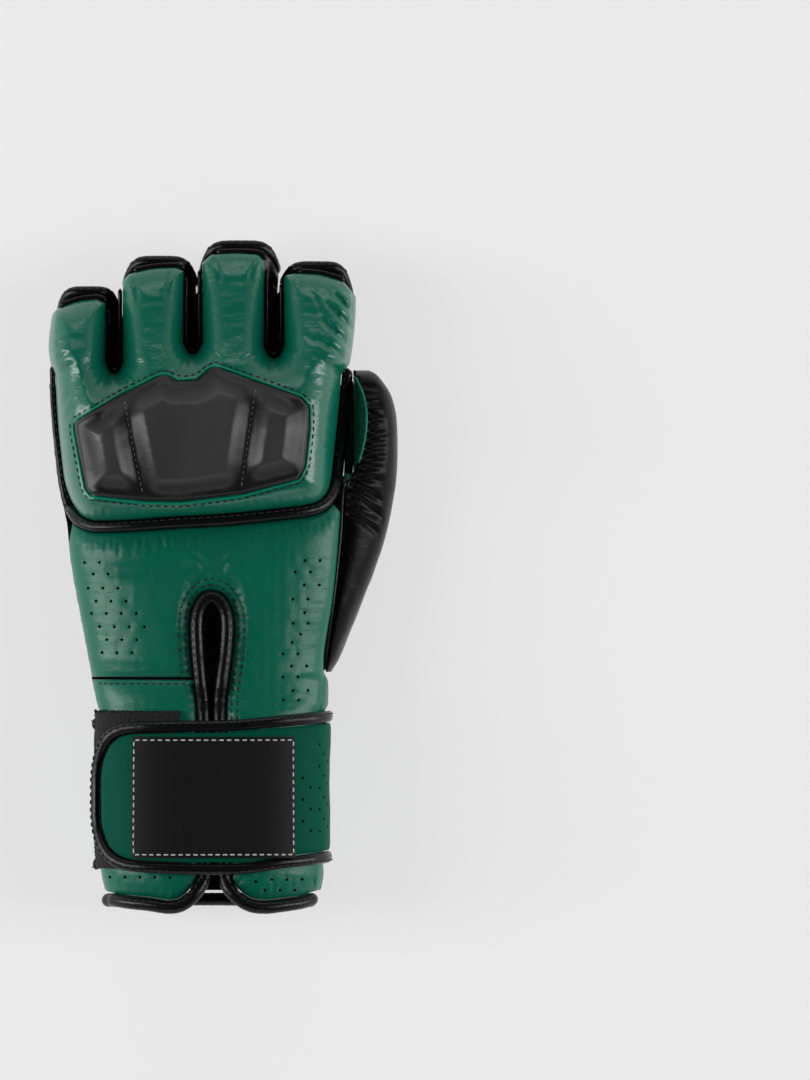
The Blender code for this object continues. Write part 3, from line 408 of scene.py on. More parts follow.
def arch(x, y, inset, top, drop=0.0):
    """Height of a vault over the hand, as wide as the body less an inset on each side."""
    left = across(body("left", y)) + inset
    right = across(body("right", y)) - inset
    middle = (left + right) / 2
    side = height(np.where(x < middle, body("side_left", y), body("side_right", y))) - drop
    share = np.minimum(np.abs(x - middle) / ((right - left) / 2), 1)
    shape = body("shape", y)
    return side + (top - side) * (1 - share ** shape) ** (1 / shape)


def back_height(x, y, inset=0.0):
    """Height of the back of the hand."""
    return arch(x, y, inset, height(body("top", y)))


def hollow_height(x, y):
    """Height of the hollow for the hand, under the back."""
    return arch(x, y, across(body("wall", y)), height(body("hollow", y)), RIM_DROP)


def unit(vectors):
    """Vectors at length one."""
    lengths = np.linalg.norm(vectors, axis=-1, keepdims=True)
    return vectors / np.maximum(lengths, 1e-12)


def back_normal(x, y, inset=0.0):
    """Direction out of the back, from its slope across and along."""
    step = 0.3 * MM
    slope_x = (back_height(x + step, y, inset) - back_height(x - step, y, inset)) / (2 * step)
    slope_y = (back_height(x, y + step, inset) - back_height(x, y - step, inset)) / (2 * step)
    return unit(np.stack([-slope_x, -slope_y, np.ones_like(slope_x)], -1))


def resampled(line, step, closed=False):
    """A line cut into even steps."""
    if closed:
        line = np.vstack([line, line[:1]])
    lengths = np.concatenate([[0], np.cumsum(np.linalg.norm(np.diff(line[:, :3], axis=0), axis=1))])
    cuts = max(2, round(lengths[-1] / step))
    goals = np.linspace(0, lengths[-1], cuts + 1)
    if closed:
        goals = goals[:-1]
    return np.stack([np.interp(goals, lengths, line[:, k]) for k in range(line.shape[1])], 1)


def curve(points, step=STEP, closed=False):
    """A smooth line through points, cut into even steps."""
    points = np.asarray(points, float)
    count = len(points)
    t = np.linspace(0, 1, 24, endpoint=False)[:, None]
    pieces = []
    for i in range(count if closed else count - 1):
        if closed:
            a, b, c, d = (points[(i + k) % count] for k in (-1, 0, 1, 2))
        else:
            a, b, c, d = (points[min(max(i + k, 0), count - 1)] for k in (-1, 0, 1, 2))
        pieces.append(0.5 * (2 * b + (c - a) * t + (2 * a - 5 * b + 4 * c - d) * t ** 2
                             + (3 * b - a - 3 * c + d) * t ** 3))
    fine = np.vstack(pieces)
    if not closed:
        fine = np.vstack([fine, points[-1:]])
    return resampled(fine, step, closed)


def shifted(line, distance):
    """A line in plan moved to its left by a distance."""
    ahead = unit(np.gradient(line, axis=0))
    return line + np.stack([-ahead[:, 1], ahead[:, 0]], 1) * np.reshape(distance, (-1, 1))


def ring_closed(outline):
    """An outline with its first point again at its end."""
    return np.vstack([outline, outline[:1]])


def distance_to(points, lines):
    """Distance in plan from points to the nearest of some lines."""
    starts = np.vstack([line[:-1] for line in lines])
    runs = np.vstack([np.diff(line, axis=0) for line in lines])
    squares = np.maximum((runs ** 2).sum(1), 1e-14)
    nearest = []
    for block in np.array_split(points, max(1, len(points) // 1500)):
        offset = block[:, None, :] - starts[None]
        share = np.clip((offset * runs[None]).sum(2) / squares, 0, 1)
        gap = offset - share[:, :, None] * runs[None]
        nearest.append(np.sqrt((gap ** 2).sum(2).min(1)))
    return np.concatenate(nearest)


def inside(points, outline):
    """Which points in plan lie inside an outline."""
    hit = np.zeros(len(points), bool)
    x, y = points[:, 0], points[:, 1]
    for a, b in zip(outline, np.roll(outline, -1, 0)):
        if a[1] != b[1]:
            crosses = (a[1] > y) != (b[1] > y)
            hit ^= crosses & (x < a[0] + (b[0] - a[0]) * (y - a[1]) / (b[1] - a[1]))
    return hit


def noise(x, y, seed):
    """Smooth random values between -1 and 1 on a lattice of unit cells."""
    lattice = np.random.default_rng(seed).uniform(-1, 1, (256, 256))
    i, j = np.floor(x).astype(int), np.floor(y).astype(int)
    u, v = smooth(x - i), smooth(y - j)
    low = lattice[i % 256, j % 256] * (1 - u) + lattice[(i + 1) % 256, j % 256] * u
    high = lattice[i % 256, (j + 1) % 256] * (1 - u) + lattice[(i + 1) % 256, (j + 1) % 256] * u
    return low * (1 - v) + high * v


def uneven(x, y, depth, wide, long, seed):
    """Smooth random heights up to a depth, with bumps so wide and so long, in millimetres."""
    return depth * MM * noise(x / (wide * MM), y / (long * MM), seed)


def frame_shift():
    """Shift from the tables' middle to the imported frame's."""
    low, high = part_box("gusset")
    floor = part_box("palm")[0].z
    middle = np.array([(low.x + high.x) / 2, (low.y + high.y) / 2])
    planned = np.array([across(GUSSET_MIDDLE), along(sum(GUSSET_ALONG) / 2)])
    return np.array([*(middle - planned), floor - height(PALM_FLOOR)])


def solid(name, points, faces, materials, stands_for=None, slot=None, marks=None, tones=None, sharp=55):
    """One named object from points and faces, riding on the glove's only body."""
    points = np.asarray(points, float)
    triangles = np.array([(f[0], b, c) for f in faces for b, c in zip(f[1:], f[2:])])
    a, b, c = (points[triangles[:, k]] for k in range(3))
    if (a * np.cross(b, c)).sum() < 0:
        faces = [tuple(reversed(face)) for face in faces]
    mesh = bpy.data.meshes.new(name)
    mesh.from_pydata((points + SHIFT).tolist(), [], [tuple(int(i) for i in face) for face in faces])
    for made in materials:
        mesh.materials.append(made)
    if marks is not None:
        mesh.polygons.foreach_set("material_index", np.asarray(marks, np.int32))
    if tones is not None:
        # Share of a second base colour at each point: on the knuckle panel, painted sheen with some wear
        mesh.attributes.new("worn", "FLOAT", "POINT").data.foreach_set("value", np.asarray(tones, np.float32))
    mesh.shade_smooth()
    mesh.set_sharp_from_angle(angle=math.radians(sharp))
    obj = bpy.data.objects.new(name, mesh)
    bpy.context.collection.objects.link(obj)
    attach(obj, "root")
    if stands_for:
        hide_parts(*stands_for)
    return obj


def lattice_over(outline, step):
    """Evenly spaced points inside an outline, every second row half a step over."""
    low, high = outline.min(0), outline.max(0)
    across_count, along_count = (high - low) / step + 1
    columns, lines = np.meshgrid(np.arange(across_count), np.arange(along_count))
    x = low[0] + (columns + 0.5 * (lines % 2)) * step
    spots = np.stack([x, low[1] + lines * step], -1).reshape(-1, 2)
    return spots[inside(spots, outline)]


def with_holes(inner, holes):
    """Points with rings of finer ones round each punched hole."""
    if not len(holes):
        return inner
    apart = np.linalg.norm(inner[:, None] - holes[None], axis=2).min(1)
    groups = [inner[apart > 1.7 * HOLE_RADIUS]]
    turn = np.arange(8) * math.pi / 4
    circle = np.stack([np.cos(turn), np.sin(turn)], 1)
    for share in (1.45, 1.0, 0.8):
        groups.append((holes[:, None] + circle[None] * HOLE_RADIUS * share).reshape(-1, 2))
    return np.vstack([*groups, holes])


def triangulated(outline, step, rows, holes=()):
    """Even triangles over an outline in plan, finer near its edge and round punched holes."""
    border = ring_closed(outline)
    ahead = unit(np.roll(outline, -1, 0) - np.roll(outline, 1, 0))
    area = (border[:-1, 0] * border[1:, 1] - border[1:, 0] * border[:-1, 1]).sum()
    inward = np.stack([-ahead[:, 1], ahead[:, 0]], 1) * (1 if area > 0 else -1)
    groups = []
    for row in rows:
        spots = outline + inward * row
        spots = spots[inside(spots, outline)]
        groups.append(spots[distance_to(spots, [border]) > 0.93 * row])
    spots = lattice_over(outline, step)
    room = rows[-1] + 0.6 * step if len(rows) else 0.6 * step
    groups.append(spots[distance_to(spots, [border]) > room])
    inner = with_holes(np.vstack(groups), holes)
    points = [Vector(p) for p in np.vstack([outline, inner]).tolist()]
    count = len(outline)
    edges = [(i, (i + 1) % count) for i in range(count)]
    found = geometry.delaunay_2d_cdt(points, edges, [], 0, 1e-8)
    spots = np.array([tuple(p) for p in found[0]])
    faces = np.array([tuple(face) for face in found[2]])
    a, b, c = (spots[faces[:, k]] for k in range(3))
    twice = (b - a)[:, 0] * (c - a)[:, 1] - (b - a)[:, 1] * (c - a)[:, 0]
    faces[twice < 0] = faces[twice < 0][:, ::-1]
    keep = (np.abs(twice) > 1e-12) & inside((a + b + c) / 3, outline)
    number = {}
    for made, sources in enumerate(found[3]):
        for source in sources:
            number[source] = made
    return spots, faces[keep], [number[i] for i in range(count)]


def pad(name, outline, top, bottom, materials, step=FINE, rows=EDGE_ROWS, holes=(), place=None, worn=None,
        **facts):
    """A closed body over an outline in plan, fine on top and coarse below; place lays it out in space."""
    place = place or (lambda spots, level: np.column_stack([spots, level]))
    spots, faces, rim = triangulated(outline, step, rows, holes)
    below, low_faces, low_rim = triangulated(outline, COARSE, (1.5 * MM,))
    marks = np.zeros(len(faces), int)
    press = np.zeros(len(spots))
    if len(holes):
        apart = np.linalg.norm(spots[:, None] - holes[None], axis=2).min(1)
        press = HOLE_DEPTH * (apart < 0.9 * HOLE_RADIUS) + 0.15 * MM * np.exp(-(apart / (1.3 * MM)) ** 2)
        # Faces inside each hole take the second material, black: painted shade in the hole's depth
        marks = (apart[faces] < 1.1 * HOLE_RADIUS).all(1).astype(int)
    distance = distance_to(spots, [ring_closed(outline)])
    upper, lower = place(spots, top(spots, distance) - press), place(below, bottom(below))
    count = len(upper)
    all_faces = [tuple(face) for face in faces]
    all_faces += [tuple(count + i for i in face[::-1]) for face in low_faces]
    for i in range(len(rim)):
        j = (i + 1) % len(rim)
        all_faces.append((rim[j], rim[i], count + low_rim[i], count + low_rim[j]))
    marks = np.concatenate([marks, np.zeros(len(all_faces) - len(marks), int)])
    if worn:
        facts["tones"] = np.concatenate([worn(spots, distance), np.zeros(len(lower))])
    return solid(name, np.vstack([upper, lower]), all_faces, materials, marks=marks, **facts)


def grid_faces(rows, columns, wrap, start=0):
    """Faces between the points of a grid."""
    faces = []
    for i in range(rows - 1):
        for j in range(columns if wrap else columns - 1):
            k = (j + 1) % columns
            faces.append((start + i * columns + j, start + i * columns + k,
                          start + (i + 1) * columns + k, start + (i + 1) * columns + j))
    return faces


def shell(name, outer, inner, materials, wrap=False, tip=False, **facts):
    """A wall between two grids of points, open or wrapped round, its last row zipped shut at a tip."""
    rows, columns = outer.shape[:2]
    skin = rows * columns
    faces = grid_faces(rows, columns, wrap)
    faces += [face[::-1] for face in grid_faces(rows, columns, wrap, skin)]

    def at(i, j, layer):
        return layer * skin + i * columns + j % columns

    end, far = rows - 1, columns - 1
    for j in range(columns if wrap else far):
        faces.append((at(0, j + 1, 0), at(0, j, 0), at(0, j, 1), at(0, j + 1, 1)))
        if not tip:
            faces.append((at(end, j, 0), at(end, j + 1, 0), at(end, j + 1, 1), at(end, j, 1)))
    if tip:
        for j in range(far // 2):
            low, high = far - j, far - j - 1
            over = at(end, j, 0), at(end, j + 1, 0), at(end, high, 0), at(end, low, 0)
            under = at(end, low, 1), at(end, high, 1), at(end, j + 1, 1), at(end, j, 1)
            faces += [tuple(dict.fromkeys(face)) for face in (over, under)]
        faces.append((at(end, 0, 0), at(end, far, 0), at(end, far, 1), at(end, 0, 1)))
    if not wrap:
        for i in range(rows - 1):
            faces.append((at(i, 0, 0), at(i + 1, 0, 0), at(i + 1, 0, 1), at(i, 0, 1)))
            faces.append((at(i + 1, far, 0), at(i, far, 0), at(i, far, 1), at(i + 1, far, 1)))
    points = np.vstack([outer.reshape(-1, 3), inner.reshape(-1, 3)])
    return solid(name, points, faces, materials, **facts)


def grid_normals(grid):
    """Directions out of a grid of points, by its slopes; their sense follows its rows and columns."""
    down = np.gradient(grid, axis=0)
    over = np.gradient(grid, axis=1)
    return unit(np.cross(down, over))


def roll_frame(path, normals, closed):
    """Directions beside and above each point of a path."""
    if closed:
        ahead = unit(np.roll(path, -1, 0) - np.roll(path, 1, 0))
    else:
        ahead = unit(np.gradient(path, axis=0))
    side = unit(np.cross(ahead, normals))
    return side, np.cross(side, ahead)


def roll(name, path, normals, half_width, half_height, materials, sides=14, closed=False, pinch=0.0, **facts):
    """A rolled edge or a piping: an oval section swept along a path, pinched at its stitches."""
    side, up = roll_frame(path, normals, closed)
    count = len(path)
    steps = np.linalg.norm(np.diff(path, axis=0), axis=1)
    run = np.concatenate([[0], np.cumsum(steps)])
    wave = 1 - pinch * (0.5 + 0.5 * np.cos(2 * math.pi * run / STITCH_PITCH))
    wave = wave + pinch * noise(run / (6 * MM), run * 0, len(name))
    if not closed:
        wave = wave * (0.12 + 0.88 * swell(np.minimum(run, run[-1] - run), half_height * 1.6))
    angle = 2 * math.pi * (np.arange(sides) + 0.5) / sides
    wide = np.reshape(half_width, (-1, 1)) * wave[:, None] * np.cos(angle)[None]
    tall = half_height * wave[:, None] * np.sin(angle)[None]
    points = path[:, None] + side[:, None] * wide[..., None] + up[:, None] * tall[..., None]
    faces = []
    for i in range(count if closed else count - 1):
        for k in range(sides):
            after, turn = (i + 1) % count, (k + 1) % sides
            faces.append((after * sides + k, after * sides + turn, i * sides + turn, i * sides + k))
    if not closed:
        faces.append(tuple(range(sides)))
        faces.append(tuple(reversed(range((count - 1) * sides, count * sides))))
    return solid(name, points.reshape(-1, 3), faces, materials, **facts)


def upright_roll(name, path, half_width, half_height, material, sides=10, **facts):
    """A roll whose section stands upright all along."""
    normals = np.tile([0.0, 0.0, 1.0], (len(path), 1))
    return roll(name, path, normals, half_width, half_height, [material], sides=sides, **facts)


def binding(node, path, normals, half_width, half_height, closed=False):
    """A black rolled edge that stands for one of the frame's solids."""
    return roll(f"black_{node}", path, normals, half_width, half_height, [BLACK_LEATHER], closed=closed,
                pinch=BINDING_PINCH, stands_for=[node], slot="black_leather")


def roll_row(path, normals, half_width, half_height, angle, closed=False):
    """A line on a roll's skin at an angle in degrees from its side, with directions out of the skin."""
    side, up = roll_frame(path, normals, closed)
    c, s = math.cos(math.radians(angle)), math.sin(math.radians(angle))
    line = path + side * np.reshape(half_width, (-1, 1)) * c + up * half_height * s
    return line, unit(side * c + up * s)


def capsule(sides=6):
    """Points and faces of one stitch of unit length along X, sunk at both ends."""
    half = [(0.15, 1.0, 0.1), (0.38, 0.85, -0.25), (0.5, 0.35, -0.9)]
    rings = [(-x, radius, lift) for x, radius, lift in reversed(half)] + half
    points, faces = [], []
    for x, radius, lift in rings:
        for k in range(sides):
            angle = 2 * math.pi * k / sides
            points.append((x, radius * math.cos(angle), radius * math.sin(angle) + lift))
    for i in range(len(rings) - 1):
        for k in range(sides):
            turn = (k + 1) % sides
            faces.append((i * sides + k, i * sides + turn, (i + 1) * sides + turn, (i + 1) * sides + k))
    faces.append(tuple(reversed(range(sides))))
    faces.append(tuple(range((len(rings) - 1) * sides, len(rings) * sides)))
    return np.array(points), faces


def stitches(name, rows, thread, radius=STITCH_RADIUS, length=STITCH_LENGTH, pitch=STITCH_PITCH):
    """Rows of stitches: each row is a line with directions out of the leather."""
    template, template_faces = capsule()
    points, faces = [], []
    for line, normals in rows:
        even = resampled(np.hstack([line, normals]), pitch)
        places, outs = (even[:-1, :3] + even[1:, :3]) / 2, unit((even[:-1, 3:] + even[1:, 3:]) / 2)
        ahead = unit(even[1:, :3] - even[:-1, :3])
        side = unit(np.cross(outs, ahead))
        for spot, front, left, out in zip(places, ahead, side, outs):
            start = len(points)
            placed = spot + template[:, :1] * length * front + template[:, 1:2] * radius * left
            placed = placed + (template[:, 2:] + 0.35) * radius * out
            points.extend(placed)
            faces.extend(tuple(start + i for i in face) for face in template_faces)
    return solid(name, np.array(points), faces, [thread])


def dropped(obj, line):
    """A line in plan laid on an object from above, with directions out of it."""
    mesh = obj.data
    tree = BVHTree.FromPolygons([v.co for v in mesh.vertices], [p.vertices[:] for p in mesh.polygons])
    spots, outs = [], []
    for x, y in line:
        spot, out, *_ = tree.ray_cast(Vector((x + SHIFT[0], y + SHIFT[1], 1.0)), Vector((0, 0, -1)))
        if spot is not None:
            spots.append(np.array(spot) - SHIFT)
            outs.append(np.array(out))
    return np.array(spots), unit(np.array(outs))


# Folds: each is a short line with a depth and a half width in millimetres
Fold = namedtuple("Fold", "line depth width")
FINGER_FOLDS = [
    Fold([(33.0, 43.4), (37.0, 41.6), (42.0, 39.4)], 1.0, 0.8),
    Fold([(31.0, 42.4), (36.0, 39.6), (42.4, 36.2)], 1.6, 0.9),
    Fold([(30.0, 40.4), (35.6, 37.4), (42.4, 33.4)], 1.8, 1.0),
    Fold([(28.6, 38.0), (34.6, 35.0), (42.0, 30.8)], 1.7, 1.0),
    Fold([(27.0, 35.4), (33.4, 32.8), (41.0, 28.4)], 1.4, 1.1),
    Fold([(26.2, 32.8), (32.0, 30.6), (39.6, 26.4)], 1.0, 1.1),
    Fold([(24.0, 42.6), (26.6, 41.2), (28.4, 38.8)], 0.5, 0.9),
    Fold([(23.2, 36.2), (25.2, 35.1), (28.0, 34.6)], 0.5, 0.9),
    Fold([(-50.6, 36.2), (-48.0, 35.9), (-45.4, 36.3)], 0.8, 0.8),
    Fold([(-50.8, 34.3), (-48.0, 34.1), (-45.0, 34.8)], 0.9, 0.8),
    Fold([(-50.8, 32.1), (-47.6, 32.1), (-44.0, 33.2)], 1.0, 0.9),
    Fold([(-50.4, 29.4), (-46.6, 30.0), (-43.0, 31.4)], 0.9, 0.9),
    Fold([(-45.8, 24.9), (-44.2, 26.4), (-42.6, 28.8)], 0.6, 1.0),
    Fold([(-44.6, 22.6), (-43.6, 24.4), (-42.4, 26.0)], 0.5, 0.9),
    Fold([(-27.0, 45.2), (-25.0, 43.2), (-24.2, 40.8)], 0.7, 0.8),
    Fold([(-14.0, 46.0), (-15.6, 44.0), (-16.2, 41.8)], 0.7, 0.8),
    Fold([(-3.4, 47.9), (-1.4, 45.8), (-0.6, 43.6)], 0.7, 0.8),
    Fold([(10.0, 48.0), (8.4, 45.8), (7.6, 43.6)], 0.7, 0.8),
    Fold([(20.4, 45.4), (22.0, 43.8), (22.6, 42.0)], 0.6, 0.8),
    Fold([(-37.0, 41.4), (-38.0, 39.6), (-38.4, 37.8)], 0.6, 0.8),
    Fold([(35.2, 27.6), (32.4, 27.2), (29.8, 27.6)], 0.6, 1.0),
    Fold([(35.0, 23.6), (32.2, 23.4), (29.4, 24.0)], 0.6, 1.0),
    Fold([(34.2, 19.6), (31.4, 19.4), (28.8, 19.8)], 0.6, 1.0),
]
BACK_FOLDS = [
    Fold([(-10.6, -5.6), (-9.2, -1.6), (-6.2, 0.4), (-2.8, 1.0), (0.6, 0.4), (3.6, -1.6), (5.0, -5.6)],
         0.9, 2.6),
    Fold([(-4.6, 0.2), (-6.0, 2.2), (-8.6, 3.6)], 0.5, 1.2),
    Fold([(-1.0, 0.2), (0.6, 2.2), (3.2, 3.6)], 0.5, 1.2),
    Fold([(2.8, -9.0), (6.4, -8.2), (9.8, -8.8)], 0.4, 1.1),
    Fold([(2.8, -12.4), (6.0, -11.8), (9.0, -12.4)], 0.4, 1.0),
    Fold([(-9.4, -9.6), (-12.4, -8.8), (-15.0, -9.4)], 0.35, 1.1),
    Fold([(-34.0, 1.6), (-22.0, 1.0), (-9.0, 2.2)], 0.8, 3.0),
    Fold([(-38.0, -13.2), (-28.0, -13.0), (-16.0, -13.3)], 0.35, 1.8),
    Fold([(29.4, -13.0), (28.2, -16.6), (27.0, -21.0)], 0.9, 0.6),
    Fold([(26.4, -42.0), (25.9, -44.6), (25.7, -47.4)], 0.9, 0.5),
]


def folded(points, folds):
    """How deep a set of folds presses into the leather at points in plan."""
    depth = np.zeros(len(points))
    for fold in folds:
        line = curve(plan(fold.line))
        width = fold.width * MM
        low, high = line.min(0) - 4 * width, line.max(0) + 4 * width
        near = np.where(((points > low) & (points < high)).all(1))[0]
        if not len(near):
            continue
        gap = points[near][:, None] - line[None]
        lengths = np.sqrt((gap ** 2).sum(2))
        best = lengths.argmin(1)
        away = lengths[np.arange(len(near)), best]
        fade = np.sin(math.pi * (best + 0.5) / len(line)) ** 0.6
        valley = np.exp(-(away / width) ** 2) - 0.35 * np.exp(-((away - 1.9 * width) / (0.9 * width)) ** 2)
        depth[near] += fold.depth * MM * fade * valley
    return depth


def puckers(line, normal_side, length, depth, pitch, seed, spread=0.35):
    """Short folds that start at a seam and fan away from it, as gathered leather makes."""
    chance = np.random.default_rng(seed)
    ahead = unit(np.gradient(line, axis=0))
    away = np.stack([-ahead[:, 1], ahead[:, 0]], 1) * normal_side
    steps = np.linalg.norm(np.diff(line, axis=0), axis=1).mean()
    made = []
    place = chance.uniform(0.3, 0.9) * pitch
    while place / steps < len(line) - 1:
        i = int(place / steps)
        lean = ahead[i] * chance.uniform(-spread, spread)
        run = unit(away[i] + lean) * length * chance.uniform(0.6, 1.3)
        start = line[i] + away[i] * 0.2 * MM
        spots = [start, start + 0.5 * run + ahead[i] * chance.uniform(-0.4, 0.4) * MM, start + run]
        shares = [(100 * p[0] / GLOVE_WIDTH, 100 * p[1] / GLOVE_LENGTH) for p in spots]
        made.append(Fold(shares, depth * chance.uniform(0.6, 1.3), chance.uniform(0.6, 0.9)))
        place += pitch * chance.uniform(0.75, 1.3)
    return made


def pad_crown(x, y, distance):
    """Height of the knuckle pad's top before its folds."""
    share = 100 * y / GLOVE_LENGTH
    reach = KNUCKLE_SWELL + (FINGER_SWELL - KNUCKLE_SWELL) * smooth((share - 27) / 7)
    reach = reach - np.where(share < 16, (KNUCKLE_SWELL - LOW_SWELL) * smooth((16 - share) / 5), 0)
    edge = np.maximum(back_height(x, y, PAD_BAND_HALF), hollow_height(x, y) + PAD_EDGE)
    crown = height(read(CROWNS, "height", "along", share))
    return edge + np.maximum(crown - edge, 0) * swell(distance, reach)


def slot_curve(slot):
    """The rounded bottom of a gap between two finger lobes, up one side and down the other."""
    left, right = slot.left, slot.right
    middle, lean = (left + right) / 2, (right - left) / 4
    down = curve(plan([(left, slot.left_end), (left, slot.bottom + 3 * SLOT_TURN)]))
    turn = curve(plan([(left, slot.bottom + 1.4 * SLOT_TURN), (middle - lean, slot.bottom + 0.3 * SLOT_TURN),
                       (middle, slot.bottom), (middle + lean, slot.bottom + 0.3 * SLOT_TURN),
                       (right, slot.bottom + 1.4 * SLOT_TURN)]))
    up = curve(plan([(right, slot.bottom + 3 * SLOT_TURN), (right, slot.right_end)]))
    return down, turn, up


def band_half(line):
    """Half width of the pad's rolled edge, which is slimmer up the little finger's side."""
    turned = smooth((100 * line[:, 1] / GLOVE_LENGTH - 9) / 6) * (line[:, 0] < 0)
    return PAD_BAND_HALF + (PAD_BAND_SIDE - PAD_BAND_HALF) * turned


def beside_band(side):
    """A line along the pad's rolled edge, clear of it on one side."""
    line = curve(plan(PAD_BAND))
    return shifted(line, side * (band_half(line) - CLEARANCE + SEAM_ROOM))


def pad_outline():
    """The pad's outline in plan: round each finger lobe and gap, then back along its rolled edge."""
    edge = beside_band(1)
    parts = [curve(plan(PINKY_SIDE))]
    for i, tip in enumerate(TIP_LINES):
        parts.append(curve(plan(tip)))
        if i < len(SLOTS):
            parts.extend(slot_curve(SLOTS[i]))
    parts += [curve(plan(INDEX_SIDE[::-1])), edge[::-1]]
    return resampled(np.vstack(parts), STEP, closed=True)


def knuckle_rim():
    """Outline of the black panel in plan."""
    return resampled(plan(KNUCKLE_OUTLINE), STEP, closed=True)


def knuckle_pad(outline):
    """The green pad over the knuckles and the backs of the fingers."""
    rim = ring_closed(knuckle_rim())
    folds = list(FINGER_FOLDS)
    for i, slot in enumerate(SLOTS):
        turn = slot_curve(slot)[1]
        folds += puckers(turn[::-1], 1, 8 * MM, 0.9, 2.6 * MM, 20 + i)
    folds += puckers(beside_band(1), 1, 5 * MM, 0.3, 4.2 * MM, 31)
    for i, tip in enumerate(TIP_LINES):
        folds += puckers(curve(plan(tip)), -1, 5 * MM, 0.25, 3.6 * MM, 41 + i)

    def top(spots, distance):
        x, y = spots.T
        level = pad_crown(x, y, distance)
        level -= folded(spots, folds)
        seam = distance_to(spots, [rim])
        level -= 0.7 * MM * np.exp(-(seam / (1.6 * MM)) ** 2)
        level += uneven(x, y, 0.35, 17, 13, 3) * smooth(distance / (6 * MM))
        level += uneven(x, y, 0.14, 8, 2.0, 4) * smooth(distance / (3 * MM))
        return level

    return pad("green_pad", outline, top, lambda spots: hollow_height(*spots.T), [PAD_LEATHER],
               stands_for=["knuckle_pad"], slot="green_leather")


def knuckle_panel(outline):
    """Black panel on the pad: a flat border and three swollen lobes between two creases, lighter grey on the
    lobes as painted sheen with some wear.
    """
    rim = knuckle_rim()
    creases = [curve(plan(points)) for points in KNUCKLE_CREASES]
    edge = ring_closed(outline)

    def base(spots):
        x, y = spots.T
        return pad_crown(x, y, distance_to(spots, [edge])) + PANEL_SEAT

    def lobe(spots, distance):
        return np.minimum(distance - PANEL_BORDER, distance_to(spots, creases) - CREASE_HALF)

    # Share of the lighter grey, rising onto the lobes' plateaus: painted sheen for the overhead light's
    # reflection, with some wear
    def worn(spots, distance):
        patchy = 0.85 + 0.15 * noise(spots[:, 0] / (11 * MM), spots[:, 1] / (10 * MM), 9)
        return smooth((lobe(spots, distance) - 1.5 * MM) / (6 * MM)) * patchy

    def top(spots, distance):
        x, y = spots.T
        relief = KNUCKLE_RELIEF * (1 + 0.05 * noise(x / (14 * MM), y / (12 * MM), 6))
        from_edge = smooth((distance - PANEL_BORDER) / LOBE_SWELL + 0.06)
        from_crease = smooth((distance_to(spots, creases) - CREASE_HALF) / LOBE_SWELL + 0.06)
        rise = KNUCKLE_BORDER + (relief - KNUCKLE_BORDER) * from_edge * from_crease
        rise -= 0.9 * MM * (1 - smooth(distance / (0.9 * MM)))
        rise += uneven(x, y, 0.06, 2.5, 2.5, 8)
        return base(spots) + rise

    return pad("black_knuckle_panel", rim, top, base, [PANEL_LEATHER], step=0.75 * MM, worn=worn,
               stands_for=["knuckle_panel"], slot="panel_leather")


def raised(line, lift, inset=0.0):
    """A line in plan laid on the back, lifted, with the directions out of it."""
    x, y = line.T
    return np.column_stack([line, back_height(x, y, inset) + lift]), back_normal(x, y, inset)


def pad_binding():
    """Black rolled edge along the pad's sides and lower edge."""
    line = curve(plan([(-49.0, 31.3), *PAD_BAND, (35.5, 31.0)]))
    path, normals = raised(line, BAND_LIFT, inset=PAD_BAND_HALF - CLEARANCE / 2)
    wide, tall = band_half(line) - CLEARANCE, 0.75 * PAD_BAND_HALF
    binding("pad_binding", path, normals, wide, tall)
    return [roll_row(path, normals, wide, tall, PAD_STITCH_ANGLE)]


def slot_pipings():
    """A thin piping round each gap between two finger lobes."""
    inset = 100 * (PIPING_HALF + SEAM_ROOM) / GLOVE_WIDTH
    for i, slot in enumerate(SLOTS):
        left, right = slot.left + inset, slot.right - inset
        middle = (left + right) / 2
        low = slot.bottom
        line = curve(plan([(left, slot.left_end - 1.0), (left, low + 4.0), (left, low + 1.9),
                           (middle - 0.9, low + 0.75), (middle, low + 0.55), (middle + 0.9, low + 0.75),
                           (right, low + 1.9), (right, low + 4.0), (right, slot.right_end - 1.0)]))
        path = np.column_stack([line, back_height(*line.T) + 0.2 * MM])
        upright_roll(f"gap_piping_{i + 1}", path, PIPING_HALF, PIPING_HALF, BLACK_LEATHER,
                     stands_for=[f"slot_piping_{i + 1}"], slot="black_leather")


def gap_linings():
    """Black leather joining the sides of neighbouring finger tubes, deep in each gap."""
    for i, (one, other) in enumerate(zip(FINGERS, FINGERS[1:])):
        y = np.linspace(FINGER_ROOT, LINING_END[i], 60)
        reach = (y - FINGER_ROOT) / (one.right_end - FINGER_ROOT)
        left = across(one.root_right + (one.tip_right - one.root_right) * reach)
        reach = (y - FINGER_ROOT) / (other.left_end - FINGER_ROOT)
        right = across(other.root_left + (other.tip_left - other.root_left) * reach)
        path = np.column_stack([(left + right) / 2, along(y), np.full(60, height(LINING_HEIGHT))])
        half = (right - left) / 2 + 0.1 * MM
        upright_roll(f"gap_lining_{i + 1}", path, half, 2 * MM, BLACK_LEATHER, sides=12)


def tip_pipings():
    """A thin piping between each finger lobe and the rolled edge at its tip."""
    ends = [[(slot.left, slot.left_end)] for slot in SLOTS] + [[]]
    for finger, tip, end in zip(FINGERS, TIP_LINES, ends):
        line = shifted(curve(plan([*tip, *end]))[2:], 0.85 * MM)
        path = np.column_stack([line, back_height(*line.T) - 0.9 * MM])
        upright_roll(f"{finger.name}_piping", path, 1.15 * MM, 0.8 * MM, BLACK_LEATHER)


